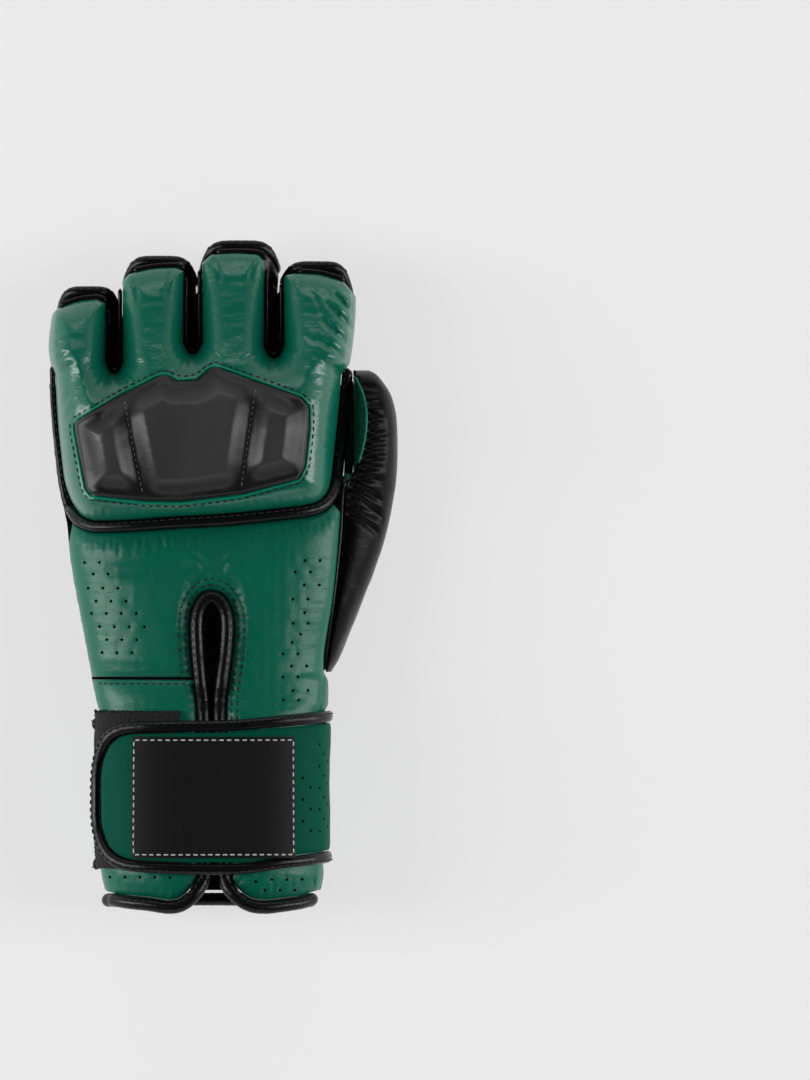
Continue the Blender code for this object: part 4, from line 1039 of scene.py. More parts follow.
def finger_ring(finger, share, angle, inset):
    """Points on a finger's tube: share 0 at the root, 1 at the tip, angle from the right over the top."""
    left = across(finger.root_left + (finger.tip_left - finger.root_left) * share) + inset
    right = across(finger.root_right + (finger.tip_right - finger.root_right) * share) - inset
    low = height(body("floor", 0.3 * GLOVE_LENGTH)) * (1 - share) + height(FINGER_FLOOR) * share + inset
    high = height(body("hollow", 0.4 * GLOVE_LENGTH)) - CLEARANCE - inset
    c, s = np.cos(angle), np.sin(angle)
    x = (left + right) / 2 + (right - left) / 2 * bend(c, 2 / TUBE_SHAPE)
    z = (low + high) / 2 + (high - low) / 2 * bend(s, 2 / TUBE_SHAPE)
    side = finger.left_end + (finger.right_end - finger.left_end) * (1 + c) / 2
    rise = np.where(s > 0, 1 - c ** 4, 0)
    end = along(side + (finger.crown_end - side) * rise - 0.8 * np.maximum(-s, 0))
    start = along(FINGER_ROOT)
    return np.stack([x, start + (end - start) * share, z], -1)


def fingers():
    """Each finger's leather tube and the rolled edge round its opening, which gives the stitch rows."""
    rows = []
    back = TIP_BAND_HALF + 1.5 * CLEARANCE
    angle = -2 * math.pi * np.arange(72) / 72
    share = np.linspace(0.001, 1, 28)
    for finger in FINGERS:
        walls = []
        for inset in (0.0, TUBE_WALL):
            grid = finger_ring(finger, share[:, None], angle[None], inset)
            grid[..., 1] -= back * share[:, None]
            wrinkle = 0.18 * MM * noise(angle[None] * 4 + 50, grid[..., 1] / (2.4 * MM), 12)
            grid[..., 2] += wrinkle * (np.sin(angle)[None] < 0.4) * smooth((1 - share[:, None]) / 0.15)
            walls.append(grid)
        shell(f"black_{finger.name}_tube", walls[0], walls[1], [BLACK_LEATHER], wrap=True,
              stands_for=[f"{finger.name}_tube"], slot="black_leather")
        turn = 2 * math.pi * np.arange(110) / 110
        path = finger_ring(finger, 1.0, turn, 0.2 * TIP_BAND_HALF + TUBE_WALL / 2)
        normals = np.stack([np.cos(turn), turn * 0, np.sin(turn)], -1)
        binding(f"{finger.name}_binding", path, normals, TIP_BAND_HALF, TIP_BAND_HALF, closed=True)
        path, normals = path[TIP_STITCHES], normals[TIP_STITCHES]
        rows.append(roll_row(path, normals, TIP_BAND_HALF, TIP_BAND_HALF, TIP_STITCH_ANGLE))
    return rows


def slit_line():
    """The middle line of the rolled cuff edge on the back: right flap, round the slit, left flap."""
    return curve(plan(FLAP_RIGHT + SLIT_RIGHT + SLIT_LEFT + FLAP_LEFT))


def silhouette(column, start, end, inset=0.0):
    """The body's outer line in plan between two places along it."""
    y = along(np.linspace(start, end, 120))
    return np.column_stack([across(body(column, y)) + inset, y])


def holes_of(rows, outline):
    """The punched holes of some rows that lie well inside an outline."""
    spots = plan([(row.across + HOLE_PITCH * k, row.along) for row in rows for k in range(row.count)])
    spots = spots[inside(spots, outline)]
    return spots[distance_to(spots, [ring_closed(outline)]) > 2 * HOLE_RADIUS]


def slit_edges(slit):
    """The green leather's edge round the slit above the wrist seam, and down its left side below the seam."""
    edge = shifted(slit, -(CUFF_BAND_HALF + SEAM_ROOM))
    seam_y = along(WRIST_SEAM)
    second_half = np.arange(len(edge)) > len(edge) / 2
    last = np.where(second_half & (edge[:, 1] > seam_y + 3 * SEAM_GAP))[0][-1]
    down_leg = edge[last + 1:]
    return edge[:last + 1], down_leg[down_leg[:, 1] < seam_y - 3 * SEAM_GAP]


def green_top(edges, folds, quilt, seed):
    """Height of a green panel's top: rolled down at its soft edges, folded, quilted and a little uneven."""
    def top(spots, distance):
        x, y = spots.T
        level = back_height(x, y) - PANEL_ROLL * (1 - swell(distance_to(spots, edges), PANEL_SWELL))
        level -= folded(spots, folds)
        level -= 0.25 * MM * np.exp(-(distance_to(spots, quilt) / (0.7 * MM)) ** 2)
        level += uneven(x, y, 0.30, 18, 15, seed) * smooth(distance / (6 * MM))
        level += uneven(x, y, 0.09, 9, 1.7, seed + 2) * smooth(distance / (4 * MM))
        level += uneven(x, y, 0.08, 2.0, 7, seed + 1) * smooth(distance / (3 * MM))
        return level
    return top


def green_panel(name, outline, top, hole_rows, node):
    """A padded green panel over the hollow for the hand, with its punched holes."""
    outline = resampled(outline, STEP, closed=True)
    return pad(name, outline, top, lambda spots: hollow_height(*spots.T), [GREEN_LEATHER, HOLE_SHADE],
               holes=holes_of(hole_rows, outline), stands_for=[node], slot="green_leather")


def back_panel(round_slit, quilt):
    """Green back of the hand, which runs down the thumb side to the cuff."""
    seam_y = along(WRIST_SEAM)
    pad_edge = beside_band(-1)
    under_pad = pad_edge[(pad_edge[:, 0] > across(-43.5)) & (pad_edge[:, 0] < across(31.5))
                         & (pad_edge[:, 1] < along(13))]
    left = silhouette("left", BACK_LEFT_START, WRIST_SEAM + SEAM_SHARE, SIDE_ROOM)
    right = silhouette("right", BACK_END, BACK_START, -SIDE_ROOM)
    seam_start = left[-1, 0] + 4 * MM, seam_y + SEAM_GAP
    seam_end = round_slit[-1, 0], seam_y + SEAM_GAP
    outline = np.vstack([left, seam_start, seam_end, round_slit[::-1], right, under_pad[::-1]])
    seam = np.array([(across(-45), seam_y), (round_slit[-1, 0], seam_y)])
    folds = list(BACK_FOLDS)
    folds += puckers(under_pad, -1, 7 * MM, 0.35, 2.2 * MM, 51, 0.15)
    folds += puckers(round_slit, -1, 6 * MM, 0.35, 3.4 * MM, 52, 0.3)
    top = green_top([round_slit, seam, under_pad], folds, quilt, 61)
    return green_panel("green_back_panel", outline, top, HOLE_ROWS + CUFF_HOLES, "back_panel")


def cuff_panel(down_leg, seam_end, quilt):
    """Green wrist panel below the cross seam on the little finger's side."""
    seam_y = along(WRIST_SEAM)
    left = silhouette("left", WRIST_SEAM - SEAM_SHARE, CUFF_PANEL_END, SIDE_ROOM)
    outline = np.vstack([seam_end, (across(-33.5), seam_y - SEAM_GAP), left, down_leg[::-1]])
    seam = np.array([(across(-38), seam_y), seam_end])
    folds = puckers(down_leg, -1, 5 * MM, 0.3, 3.4 * MM, 53, 0.3)
    top = green_top([seam, down_leg], folds, quilt, 71)
    return green_panel("green_cuff_panel", outline, top, CUFF_HOLES, "cuff_panel")


def palm_section(y, angle, inset=0.0):
    """Points of the body's lower half at angles from -180 degrees at the left to 0 at the right."""
    left, right = across(body("left", y)) + inset, across(body("right", y)) - inset
    floor = height(body("floor", y)) + inset
    c, s = np.cos(angle), np.sin(angle)
    power = 2 / PALM_SHAPE
    side = height(np.where(c < 0, body("side_left", y), body("side_right", y))) - RIM_DROP - CLEARANCE
    x = (left + right) / 2 + (right - left) / 2 * bend(c, power)
    z = side - (side - floor) * np.abs(s) ** power
    share = 100 * y / GLOVE_LENGTH
    before, after = (share - PALM_OPENS) / PALM_TURN + 0.5, (PALM_CLOSES - share) / PALM_TURN + 0.5
    rise = np.where(c > 0, np.maximum(smooth(before), smooth(after)), 1.0)
    z = floor + (z - floor) * rise
    x = x - (1 - rise) * CLEARANCE
    return np.stack(np.broadcast_arrays(x, y, z), -1)


def palm():
    """Black leather palm: a trough from side to side, flat under the thumb's root."""
    y = along(np.linspace(PALM_END, PALM_START, 200))[:, None]
    angle = np.radians(np.linspace(-179.9, -0.1, 72))[None]
    outer = palm_section(y, angle)
    inner = palm_section(y, angle, PALM_WALL)
    x, z = outer[..., 0], outer[..., 2]
    flat = (inner[..., 2] < z + 0.6 * PALM_WALL) & (np.abs(x - inner[..., 0]) < 0.9 * PALM_WALL)
    inner[..., 2] = np.where(flat, z + PALM_WALL, inner[..., 2])
    clear = smooth((z - height(2)) / (4 * MM)) * smooth((y - y.min()) / (8 * MM))
    wrinkle = 0.35 * MM * noise(x / (9 * MM), y / (3.5 * MM) + z / (9 * MM), 81) * clear
    side = np.sign(np.cos(angle)) * np.abs(np.cos(angle)) ** 2
    outer[..., 0] -= np.abs(wrinkle) * side
    shell("black_palm", outer, inner, [BLACK_LEATHER], stands_for=["palm"], slot="black_leather")


def wrist_spot(y, turn):
    """Points round the wrist at angles in radians: 0 at the right, positive over the back."""
    under = palm_section(y, turn)
    left, right = across(body("left", y)), across(body("right", y))
    top = height(body("top", y))
    c, s = np.cos(turn), np.sin(turn)
    side = height(np.where(c < 0, body("side_left", y), body("side_right", y)))
    power = 2 / body("shape", y)
    x = (left + right) / 2 + (right - left) / 2 * bend(c, power)
    over = np.stack(np.broadcast_arrays(x, y, side + (top - side) * np.abs(s) ** power), -1)
    return np.where((turn < 0)[..., None], under, over)


def ring_point(y, angle, lift):
    """Points round the wrist at angles in degrees, lifted off the body, with directions out of it."""
    y, angle = np.broadcast_arrays(np.asarray(y, float), np.asarray(angle, float))
    turn = np.radians(angle)
    low = np.where((turn >= 0) & (turn < 0.01), 0.0, turn - 0.01)
    high = np.where((turn < 0) & (turn > -0.01), 0.0 - 1e-9, turn + 0.01)
    run = wrist_spot(y, high) - wrist_spot(y, low)
    out = unit(np.stack([run[..., 2], run[..., 0] * 0, -run[..., 0]], -1))
    return wrist_spot(y, turn) + out * np.asarray(lift)[..., None], out


def strap_lift(angle):
    """The strap's underside: on the body, and over the loop patch at its free end."""
    over = smooth((angle - LOOP_STEP[0]) / (LOOP_STEP[1] - LOOP_STEP[0]))
    return CLEARANCE + over * (LOOP_WALL + 1.2 * CLEARANCE)


def strap_edge(angle, side, inset):
    """Place along the glove of the strap's upper or lower edge."""
    share = read(STRAP_EDGES, side, "angle", angle)
    return along(share) + (-inset if side == "upper" else inset)


def strip(name, angles, upper, lower, low_lift, high_lift, materials, rows=60, **facts):
    """A strip of leather round the wrist between two lifts off the body."""
    share = np.linspace(0, 1, rows)[None]
    y = upper[:, None] + (lower - upper)[:, None] * share
    outer = ring_point(y, angles[:, None], high_lift(angles[:, None], y))[0]
    inner = ring_point(y, angles[:, None], low_lift(angles[:, None], y))[0]
    return shell(name, outer, inner, materials, **facts)


def loop_patch():
    """Loop fastener under the strap's free end."""
    angles = np.linspace(*LOOP_ANGLES, 60)
    upper, lower = (np.full(60, along(share)) for share in LOOP_ALONG)
    strip("loop_fabric_patch", angles, upper, lower, lambda a, y: a * 0 + CLEARANCE,
          lambda a, y: CLEARANCE + LOOP_WALL + 0.15 * MM * noise(a * 0.8, y / (1.2 * MM), 91),
          [LOOP_FABRIC], stands_for=["loop_patch"], slot="loop_fabric")


def strap_outline():
    """The strap's green leather laid flat, with angles as lengths."""
    turns = np.linspace(STRAP_START, STRAP_END, 400)
    upper, lower = (np.column_stack([turns * DEGREE, along(read(STRAP_EDGES, side, "angle", turns))])
                    for side in ("upper", "lower"))
    edge = resampled(np.vstack([upper, lower[::-1]]), STEP)
    outline = shifted(edge, -2 * STRAP_BAND_HALF - CLEARANCE)
    return resampled(outline[outline[:, 0] > STRAP_START * DEGREE], STEP, closed=True)


def wrist_strap():
    """Green strap round the wrist, with its punched holes."""
    holes = np.array([(row.across * DEGREE, along(row.along - STRAP_HOLE_PITCH * k))
                      for row in STRAP_HOLES for k in range(row.count)])

    def top(spots, distance):
        puff = uneven(*spots.T, 0.25, 11, 9, 92)
        return strap_lift(spots[:, 0] / DEGREE) + STRAP_WALL + puff - 0.8 * MM * (1 - swell(distance, 3 * MM))

    pad("green_wrist_strap", strap_outline(), top, lambda spots: strap_lift(spots[:, 0] / DEGREE),
        [STRAP_SHADED_LEATHER, HOLE_SHADE], step=1.2 * MM, rows=EDGE_ROWS[:5], holes=holes,
        place=lambda spots, lift: ring_point(spots[:, 1], spots[:, 0] / DEGREE, lift)[0],
        stands_for=["wrist_strap"], slot="green_leather")


def strap_patch():
    """Bare black patch on the strap."""
    angles = np.linspace(*PATCH_ANGLES, 90)
    upper, lower = (np.full(90, along(share)) for share in PATCH_ALONG)
    strip("bare_strap_patch", angles, upper, lower, lambda a, y: strap_lift(a) + PATCH_SEAT + y * 0,
          lambda a, y: strap_lift(a) + PATCH_SEAT + PATCH_WALL + y * 0, [PATCH_LEATHER],
          stands_for=["strap_patch"], slot="patch_leather")


def strap_binding():
    """Black rolled edge of the strap, round its free end, which gives a stitch row."""
    to_turn = np.linspace(STRAP_START, STRAP_TURN, 240)
    angles = np.concatenate([to_turn, np.linspace(STRAP_TURN, STRAP_END, 40)[1:]])
    path, normals = [], []
    for side, turns in (("upper", angles), ("lower", angles[::-1])):
        y = strap_edge(turns, side, STRAP_BAND_HALF)
        spots, outs = ring_point(y, turns, strap_lift(turns) + STRAP_BAND_RISE)
        path.append(spots)
        normals.append(outs)
    both = resampled(np.hstack([np.vstack(path), np.vstack(normals)]), STEP)
    path, normals = both[:, :3], unit(both[:, 3:])
    binding("strap_binding", path, normals, STRAP_BAND_HALF, STRAP_BAND_RISE - 0.1 * MM)
    return [roll_row(path, normals, STRAP_BAND_HALF, STRAP_BAND_RISE, STRAP_STITCH_ANGLE)]


def patch_rows():
    """The rectangle of stitches on the patch."""
    first, last = PATCH_ANGLES[0] + 2 * PATCH_STITCH_INSET, PATCH_ANGLES[1] - 2 * PATCH_STITCH_INSET
    upper, lower = along(PATCH_ALONG[0] - PATCH_STITCH_INSET), along(PATCH_ALONG[1] + PATCH_STITCH_INSET)
    turns, places = np.linspace(first, last, 60), np.linspace(upper, lower, 60)
    rows = [(np.full(60, y), turns) for y in (upper, lower)]
    rows += [(places, np.full(60, turn)) for turn in (first, last)]
    return [ring_point(y, turn, strap_lift(turn) + PATCH_SEAT + PATCH_WALL) for y, turn in rows]


def cuff_binding(slit):
    """Rolled edge of the slit and the cuff, all the way round the wrist's mouth."""
    x, y = slit.T
    share = 100 * y / GLOVE_LENGTH
    under_strap = np.minimum(smooth((UNDER_STRAP[0] - share) / 3), smooth((share - UNDER_STRAP[1]) / 3))
    sink = 0.7 * MM + under_strap * (CUFF_BAND_HALF - 0.3 * MM)
    path = np.column_stack([slit, back_height(x, y) - sink])
    normals = back_normal(x, y)
    turns = np.concatenate([[168, 174, 180], np.linspace(-174, -6, 80), [2, 8, 14]])
    spots, outs = ring_point(along(CUFF_END), turns, np.full(len(turns), -CUFF_BAND_HALF))
    path, normals = np.vstack([path, spots]), np.vstack([normals, outs])
    both = resampled(np.hstack([path, normals]), STEP, closed=True)
    path, normals = both[:, :3], unit(both[:, 3:])
    binding("cuff_binding", path, normals, CUFF_BAND_HALF, CUFF_BAND_HALF, closed=True)
    seen = path[:len(slit)], normals[:len(slit)]
    return [roll_row(*seen, CUFF_BAND_HALF, CUFF_BAND_HALF, CUFF_STITCH_ANGLE)]


def gusset():
    """Black tongue that closes the slit from inside."""
    upper, lower = (along(share) for share in GUSSET_ALONG)
    middle, half = across(GUSSET_MIDDLE), across(GUSSET_HALF)
    outline = np.array([(middle - half, upper), (middle - half, lower), (middle + half, lower),
                        (middle + half, upper)])
    outline = resampled(outline, 2 * MM, closed=True)

    def top(spots, _):
        x, y = spots.T
        return hollow_height(x, y) - CLEARANCE + uneven(x, y, 0.2, 4, 9, 95)

    pad("black_gusset", outline, top, lambda spots: hollow_height(*spots.T) - CLEARANCE - GUSSET_WALL,
        [BLACK_LEATHER], step=1.5 * MM, rows=(0.8 * MM,), stands_for=["gusset"], slot="black_leather")


def thumb(column, share):
    """A column of the thumb's table."""
    return read(THUMB, column, "along", share)


def thumb_section(share, angle, inset):
    """Points of the thumb's wall at angles in degrees: 90 at the seam on top, 0 at its outer side."""
    seam, outer = across(thumb("seam", share)), across(thumb("outer", share)) - inset
    inner = across(THUMB_INNER)
    inner = inner + np.minimum(inset, 0.4 * np.maximum(seam - inner, 0))
    middle = THUMB_HEIGHT * thumb("middle", share) / 100
    top = THUMB_HEIGHT * thumb("top", share) / 100 - inset
    round_off = (top - middle + inset) / (THUMB_HEIGHT - middle)
    floor = middle - (middle - height(PALM_FLOOR)) * np.minimum(round_off, 1) + inset
    c, s = np.cos(np.radians(angle)), np.sin(np.radians(angle))
    least = 0.3 * MM
    reach = np.where(c > 0, np.maximum(outer - seam, least), np.maximum(seam - inner, least))
    rise = np.where(s > 0, np.maximum(top - middle, least), np.maximum(middle - floor, least))
    x = seam + bend(c, 2 / THUMB_SHAPE) * reach
    z = middle + bend(s, 2 / THUMB_SHAPE) * rise
    return np.stack(np.broadcast_arrays(x, along(share), z), -1)


def thumb_gathers(share, angles):
    """How deep the gathered folds along the thumb's seam press into its shell."""
    chance = np.random.default_rng(101)
    turned = THUMB_SEAM_ANGLE - angles
    press = np.zeros(turned.shape)
    place = GATHER_START
    while place < GATHER_END:
        reach = chance.uniform(24, 36) + 12 * smooth((16 - place) / 4)
        lean = chance.uniform(-0.01, 0.01) - 0.06 * smooth((17 - place) / 5)
        width = 0.34 + 0.005 * turned
        fade = smooth(turned / 5) * smooth((reach + 14 - turned) / 26)
        away = share - (place + lean * turned)
        press += chance.uniform(1.1, 1.6) * MM * np.exp(-(away / width) ** 2) * fade
        place += chance.uniform(1.2, 1.5)
    press += 0.10 * MM * noise(share * 0.5, angles / 20, 102)
    return press + 0.4 * MM * np.exp(-(turned / 4.0) ** 2)


def thumb_shell():
    """Black padded thumb, closed at its tip, gathered along its seam."""
    share = np.linspace(THUMB_START, THUMB_END, 150)[:, None]
    inner_run = 1 - 150 * THUMB_WALL / GLOVE_LENGTH / (THUMB_END - TIP_TURN)
    low = -90 - 88 * smooth(thumb("wrap", share))
    angles = THUMB_SEAM_ANGLE + (low - THUMB_SEAM_ANGLE) * np.linspace(0, 1, 80)[None]
    outer = thumb_section(share, angles, 0.0)
    back = np.minimum(share, TIP_TURN + (share - TIP_TURN) * inner_run)
    wall = np.minimum(THUMB_WALL, 0.42 * across(thumb("outer", back) - thumb("seam", back)))
    inner = thumb_section(back, angles, wall)
    normals = grid_normals(outer)
    toward = unit(outer - outer.mean(1, keepdims=True))
    normals *= np.where((normals * toward).sum(-1, keepdims=True) < 0, -1, 1)
    above_floor = outer[..., 2] > height(2.0)
    press = thumb_gathers(share, angles) * above_floor * smooth((THUMB_END - share) / 1.5)
    outer = outer - normals * press[..., None]
    shell("black_thumb", outer[:, ::-1], inner[:, ::-1], [THUMB_SHADED_LEATHER], tip=True,
          stands_for=["thumb_shell"], slot="black_leather")
    thumb_seam("black_thumb_piping", THUMB_START + 0.2, 15.0, "seam", BLACK_LEATHER)
    thumb_seam("green_web_piping", 14.2, THUMB_END - 1.6, None, GREEN_LEATHER)
    lip = slice(*(int(part * len(outer)) for part in THUMB_LIP))
    edge, outs = outer[lip, 0], normals[lip, 0]
    # The lip is lighter green: a painted highlight along the seam's edge
    roll("green_thumb_lip", edge + [-0.5 * MM, 0, 0.2 * MM], outs, 0.5 * MM, 0.5 * MM, [LIP_HIGHLIGHT_LEATHER], sides=8)
    return [(edge + [-1.4 * MM, 0, 0.1 * MM], outs)]


def thumb_seam(name, first, last, column, material):
    """A piping that closes the seam between the hand and the thumb from above."""
    share = np.linspace(first, last, 120)
    y = along(share)
    hand = across(body("right", y)) - SEAM_OVERLAP
    band = plan(PAD_BAND[-10:])
    beside = np.interp(y, band[:, 1], band[:, 0]) + PAD_BAND_HALF - CLEARANCE
    hand = np.where(share > PAD_BESIDE_THUMB, np.maximum(hand, beside), hand)
    far = across(thumb(column, share)) if column else np.full(120, across(THUMB_INNER))
    level = np.minimum(back_height(hand - 0.3 * MM, y), THUMB_HEIGHT * thumb("top", share) / 100)
    middle = THUMB_HEIGHT * thumb("middle", share) / 100
    depth = np.where(share > WEB_START, middle + 2 * MM, level - 1.0 * MM)
    path = np.column_stack([(hand + far) / 2, y, depth])
    half = np.clip((far - hand) / 2 + 0.25 * MM, 0.5 * MM, 1.8 * MM)
    upright_roll(name, path, half, 0.8 * MM, material)


def thumb_web():
    """Green leather between the hand and the thumb, on the thumb's inner side."""
    share = np.linspace(WEB_START, WEB_END, 70)[:, None]
    angles = np.linspace(176, 93, 36)[None]
    outer = thumb_section(share, angles, 0.0)
    inner = thumb_section(share, angles, WEB_WALL)
    press = 0.5 * MM * np.abs(noise(share * 1.1, angles / 40, 111)) * smooth((angles - 93) / 6)
    outer[..., 2] -= press
    shell("green_thumb_web", outer, inner, [GREEN_LEATHER], stands_for=["thumb_web"], slot="green_leather")


def shader(name, colour, roughness, sheen=0.0):
    """A material with its plain values set, and the nodes that later steps link."""
    made = bpy.data.materials.new(name)
    made.use_nodes = True
    principled = made.node_tree.nodes["Principled BSDF"]
    principled.inputs["Base Color"].default_value = (*colour, 1)
    principled.inputs["Roughness"].default_value = roughness
    principled.inputs["Metallic"].default_value = 0.0
    principled.inputs["Sheen Weight"].default_value = sheen
    return made, made.node_tree, principled


def texture(tree, kind, scale, coordinates, stretch=(1, 1, 1), **inputs):
    """A procedural texture in object space, which is metres, stretched along the glove's axes."""
    mapping = tree.nodes.new("ShaderNodeMapping")
    mapping.inputs["Scale"].default_value = stretch
    node = tree.nodes.new(kind)
    node.inputs["Scale"].default_value = scale
    for name, value in inputs.items():
        node.inputs[name].default_value = value
    tree.links.new(coordinates.outputs["Object"], mapping.inputs["Vector"])
    tree.links.new(mapping.outputs["Vector"], node.inputs["Vector"])
    return node


def spread_to(tree, output, low, high):
    """A texture's value moved into a range."""
    node = tree.nodes.new("ShaderNodeMapRange")
    node.inputs["To Min"].default_value = low
    node.inputs["To Max"].default_value = high
    tree.links.new(output, node.inputs["Value"])
    return node.outputs["Result"]


def bumps(tree, principled, layers):
    """Bump layers, each a texture's value with a depth in metres."""
    before = None
    for output, depth in layers:
        node = tree.nodes.new("ShaderNodeBump")
        node.inputs["Strength"].default_value = 1.0
        node.inputs["Distance"].default_value = depth
        tree.links.new(output, node.inputs["Height"])
        if before:
            tree.links.new(before.outputs["Normal"], node.inputs["Normal"])
        before = node
    tree.links.new(before.outputs["Normal"], principled.inputs["Normal"])


def leather(name, colour, rough, grain=0.04, wrinkle=0.12, stretch=(160, 500, 160), shine=0.25, wear_and_sheen_colour=None):
    """Soft leather: a fine grain, faint wrinkles and an uneven polish."""
    made, tree, principled = shader(name, colour, sum(rough) / 2)
    principled.inputs["Specular IOR Level"].default_value = shine
    place = tree.nodes.new("ShaderNodeTexCoord")
    cells = texture(tree, "ShaderNodeTexVoronoi", GRAIN_SCALE, place, Randomness=1.0)
    fine = texture(tree, "ShaderNodeTexNoise", 1, place, stretch=stretch, Detail=3.0)
    broad = texture(tree, "ShaderNodeTexNoise", POLISH_SCALE, place, Detail=2.0)
    tree.links.new(spread_to(tree, broad.outputs["Fac"], *rough), principled.inputs["Roughness"])
    # Mix to a second base colour by each point's share: on the knuckle panel, painted sheen with some wear
    if wear_and_sheen_colour:
        worn = tree.nodes.new("ShaderNodeAttribute")
        worn.attribute_name = "worn"
        tone = tree.nodes.new("ShaderNodeMixRGB")
        tone.inputs["Color1"].default_value = (*colour, 1)
        tone.inputs["Color2"].default_value = (*wear_and_sheen_colour, 1)
        tree.links.new(worn.outputs["Fac"], tone.inputs["Fac"])
        tree.links.new(tone.outputs["Color"], principled.inputs["Base Color"])
    bumps(tree, principled, [(fine.outputs["Fac"], wrinkle * MM), (cells.outputs["Distance"], grain * MM)])
    return made


def tinted(colour, factor):
    """A lighter or darker tone of a colour."""
    return tuple(factor * value for value in colour)


def fabric(name, colour):
    """Hook-and-loop pile: matt, with short loops."""
    made, tree, principled = shader(name, colour, 0.9, sheen=0.04)
    place = tree.nodes.new("ShaderNodeTexCoord")
    loops = texture(tree, "ShaderNodeTexVoronoi", PILE_SCALE, place)
    fine = texture(tree, "ShaderNodeTexNoise", FINE_PILE_SCALE, place, Detail=2.0)
    bumps(tree, principled, [(loops.outputs["Distance"], 0.5 * MM), (fine.outputs["Fac"], 0.3 * MM)])
    return made


def thread(name, colour):
    """Twisted sewing thread."""
    made, tree, principled = shader(name, colour, 0.6)
    place = tree.nodes.new("ShaderNodeTexCoord")
    twist = texture(tree, "ShaderNodeTexNoise", TWIST_SCALE, place)
    bumps(tree, principled, [(twist.outputs["Fac"], 0.05 * MM)])
    return made


def floor():
    """A plain light table under the glove, which keeps its shadows faint."""
    mesh = bpy.data.meshes.new("floor")
    half = FLOOR_SIZE / 2
    corners = [(-half, -half, 0), (half, -half, 0), (half, half, 0), (-half, half, 0)]
    mesh.from_pydata(corners, [], [(0, 1, 2, 3)])
    made, _, principled = shader("floor_paint", (FLOOR_TONE,) * 3, 0.9)
    principled.inputs["Emission Color"].default_value = (1, 1, 1, 1)
    principled.inputs["Emission Strength"].default_value = FLOOR_GLOW
    mesh.materials.append(made)
    obj = bpy.data.objects.new("floor", mesh)
    bpy.context.collection.objects.link(obj)


def softbox(box):
    """A rectangular lamp that faces the glove."""
    data = bpy.data.lights.new(box.name, "AREA")
    data.shape = "RECTANGLE"
    data.size, data.size_y = box.size
    data.energy = box.power
    obj = bpy.data.objects.new(box.name, data)
    obj.location = box.place
    obj.rotation_euler = (Vector((0, 0, 0)) - Vector(box.place)).to_track_quat("-Z", "Y").to_euler()
    bpy.context.collection.objects.link(obj)


def studio():
    """A room that is pale low down and dark above, as over a photographer's table, with four softboxes."""
    world = bpy.data.worlds.new("room")
    world.use_nodes = True
    tree = world.node_tree
    place = tree.nodes.new("ShaderNodeTexCoord")
    split = tree.nodes.new("ShaderNodeSeparateXYZ")
    blend = tree.nodes.new("ShaderNodeMapRange")
    blend.inputs["From Min"].default_value = ROOM_BLEND[0]
    blend.inputs["From Max"].default_value = ROOM_BLEND[1]
    blend.inputs["To Min"].default_value = ROOM_LOW
    blend.inputs["To Max"].default_value = ROOM_HIGH
    tree.links.new(place.outputs["Generated"], split.inputs["Vector"])
    tree.links.new(split.outputs["Z"], blend.inputs["Value"])
    tree.links.new(blend.outputs["Result"], tree.nodes["Background"].inputs["Strength"])
    tree.nodes["Background"].inputs["Color"].default_value = (1, 1, 1, 1)
    bpy.context.scene.world = world
    for box in SOFTBOXES:
        softbox(box)


def camera():
    """Camera straight above the glove, and the plain view transform."""
    data = bpy.data.cameras.new("camera")
    data.sensor_fit = "VERTICAL"
    data.sensor_height = FILM_SIZE
    data.sensor_width = FILM_SIZE
    data.lens = CAMERA_LENS
    obj = bpy.data.objects.new("camera", data)
    obj.location = Vector((CAMERA_ACROSS, CAMERA_ALONG, CAMERA_HEIGHT)) + Vector(SHIFT)
    bpy.context.collection.objects.link(obj)
    bpy.context.scene.camera = obj
    bpy.context.scene.view_settings.view_transform = "Standard"


def seams(pad_piece, panel_piece, back, cuff, round_slit, seam_end):
    """Stitch rows in the green leather and on the knuckle panel, and the lip round that panel, lighter green
    as a painted highlight.
    """
    rim = ring_closed(knuckle_rim())
    line, normals = dropped(pad_piece, shifted(rim, RIM_LIP))
    # The lip round the panel is lighter green: a painted highlight on its edge
    roll("green_panel_lip", line + [0, 0, 0.25 * MM], normals, 0.55 * MM, 0.55 * MM, [LIP_HIGHLIGHT_LEATHER], sides=8)
    dark = [dropped(pad_piece, shifted(rim, RIM_STITCHES))]
    for distance in SLIT_STITCHES:
        row = shifted(round_slit, -distance)
        dark.append(dropped(back, row[row[:, 1] > along(SLIT_STITCHES_END)]))
    start = seam_end - [0, SEAM_STITCHES]
    dark.append(dropped(cuff, np.linspace(start, [across(CUFF_STITCHES_END), start[1]], 60)))
    stitches("dark_green_seams", dark, DARK_THREAD, radius=SEAM_STITCH_RADIUS)
    grey = [dropped(panel_piece, curve(plan(points))[3:-3]) for points in KNUCKLE_CREASES]
    stitches("crease_stitches", grey, GREY_THREAD, radius=0.16 * MM, length=1.4 * MM, pitch=2.3 * MM)


def loose_loop(spot, out, chance):
    """Points of one loose thread end: three thinning rings of three points, and its tip."""
    run = unit(out + chance.normal(0, 0.6, 3)) * chance.uniform(0.5, 1.3) * MM
    sway = np.cross(run, out) * chance.uniform(-0.6, 0.6)
    side = unit(np.cross(run, chance.normal(0, 1, 3))) * 0.07 * MM
    cross = np.cross(unit(run), side)
    points = []
    for share, width in ((0, 1.0), (0.4, 0.9), (0.75, 0.7)):
        middle = spot + run * share + sway * share * (1 - share) * 3
        points += [middle + side * width, middle - side * width / 2 + cross * width * 0.87,
                   middle - side * width / 2 - cross * width * 0.87]
    return points + [spot + run]


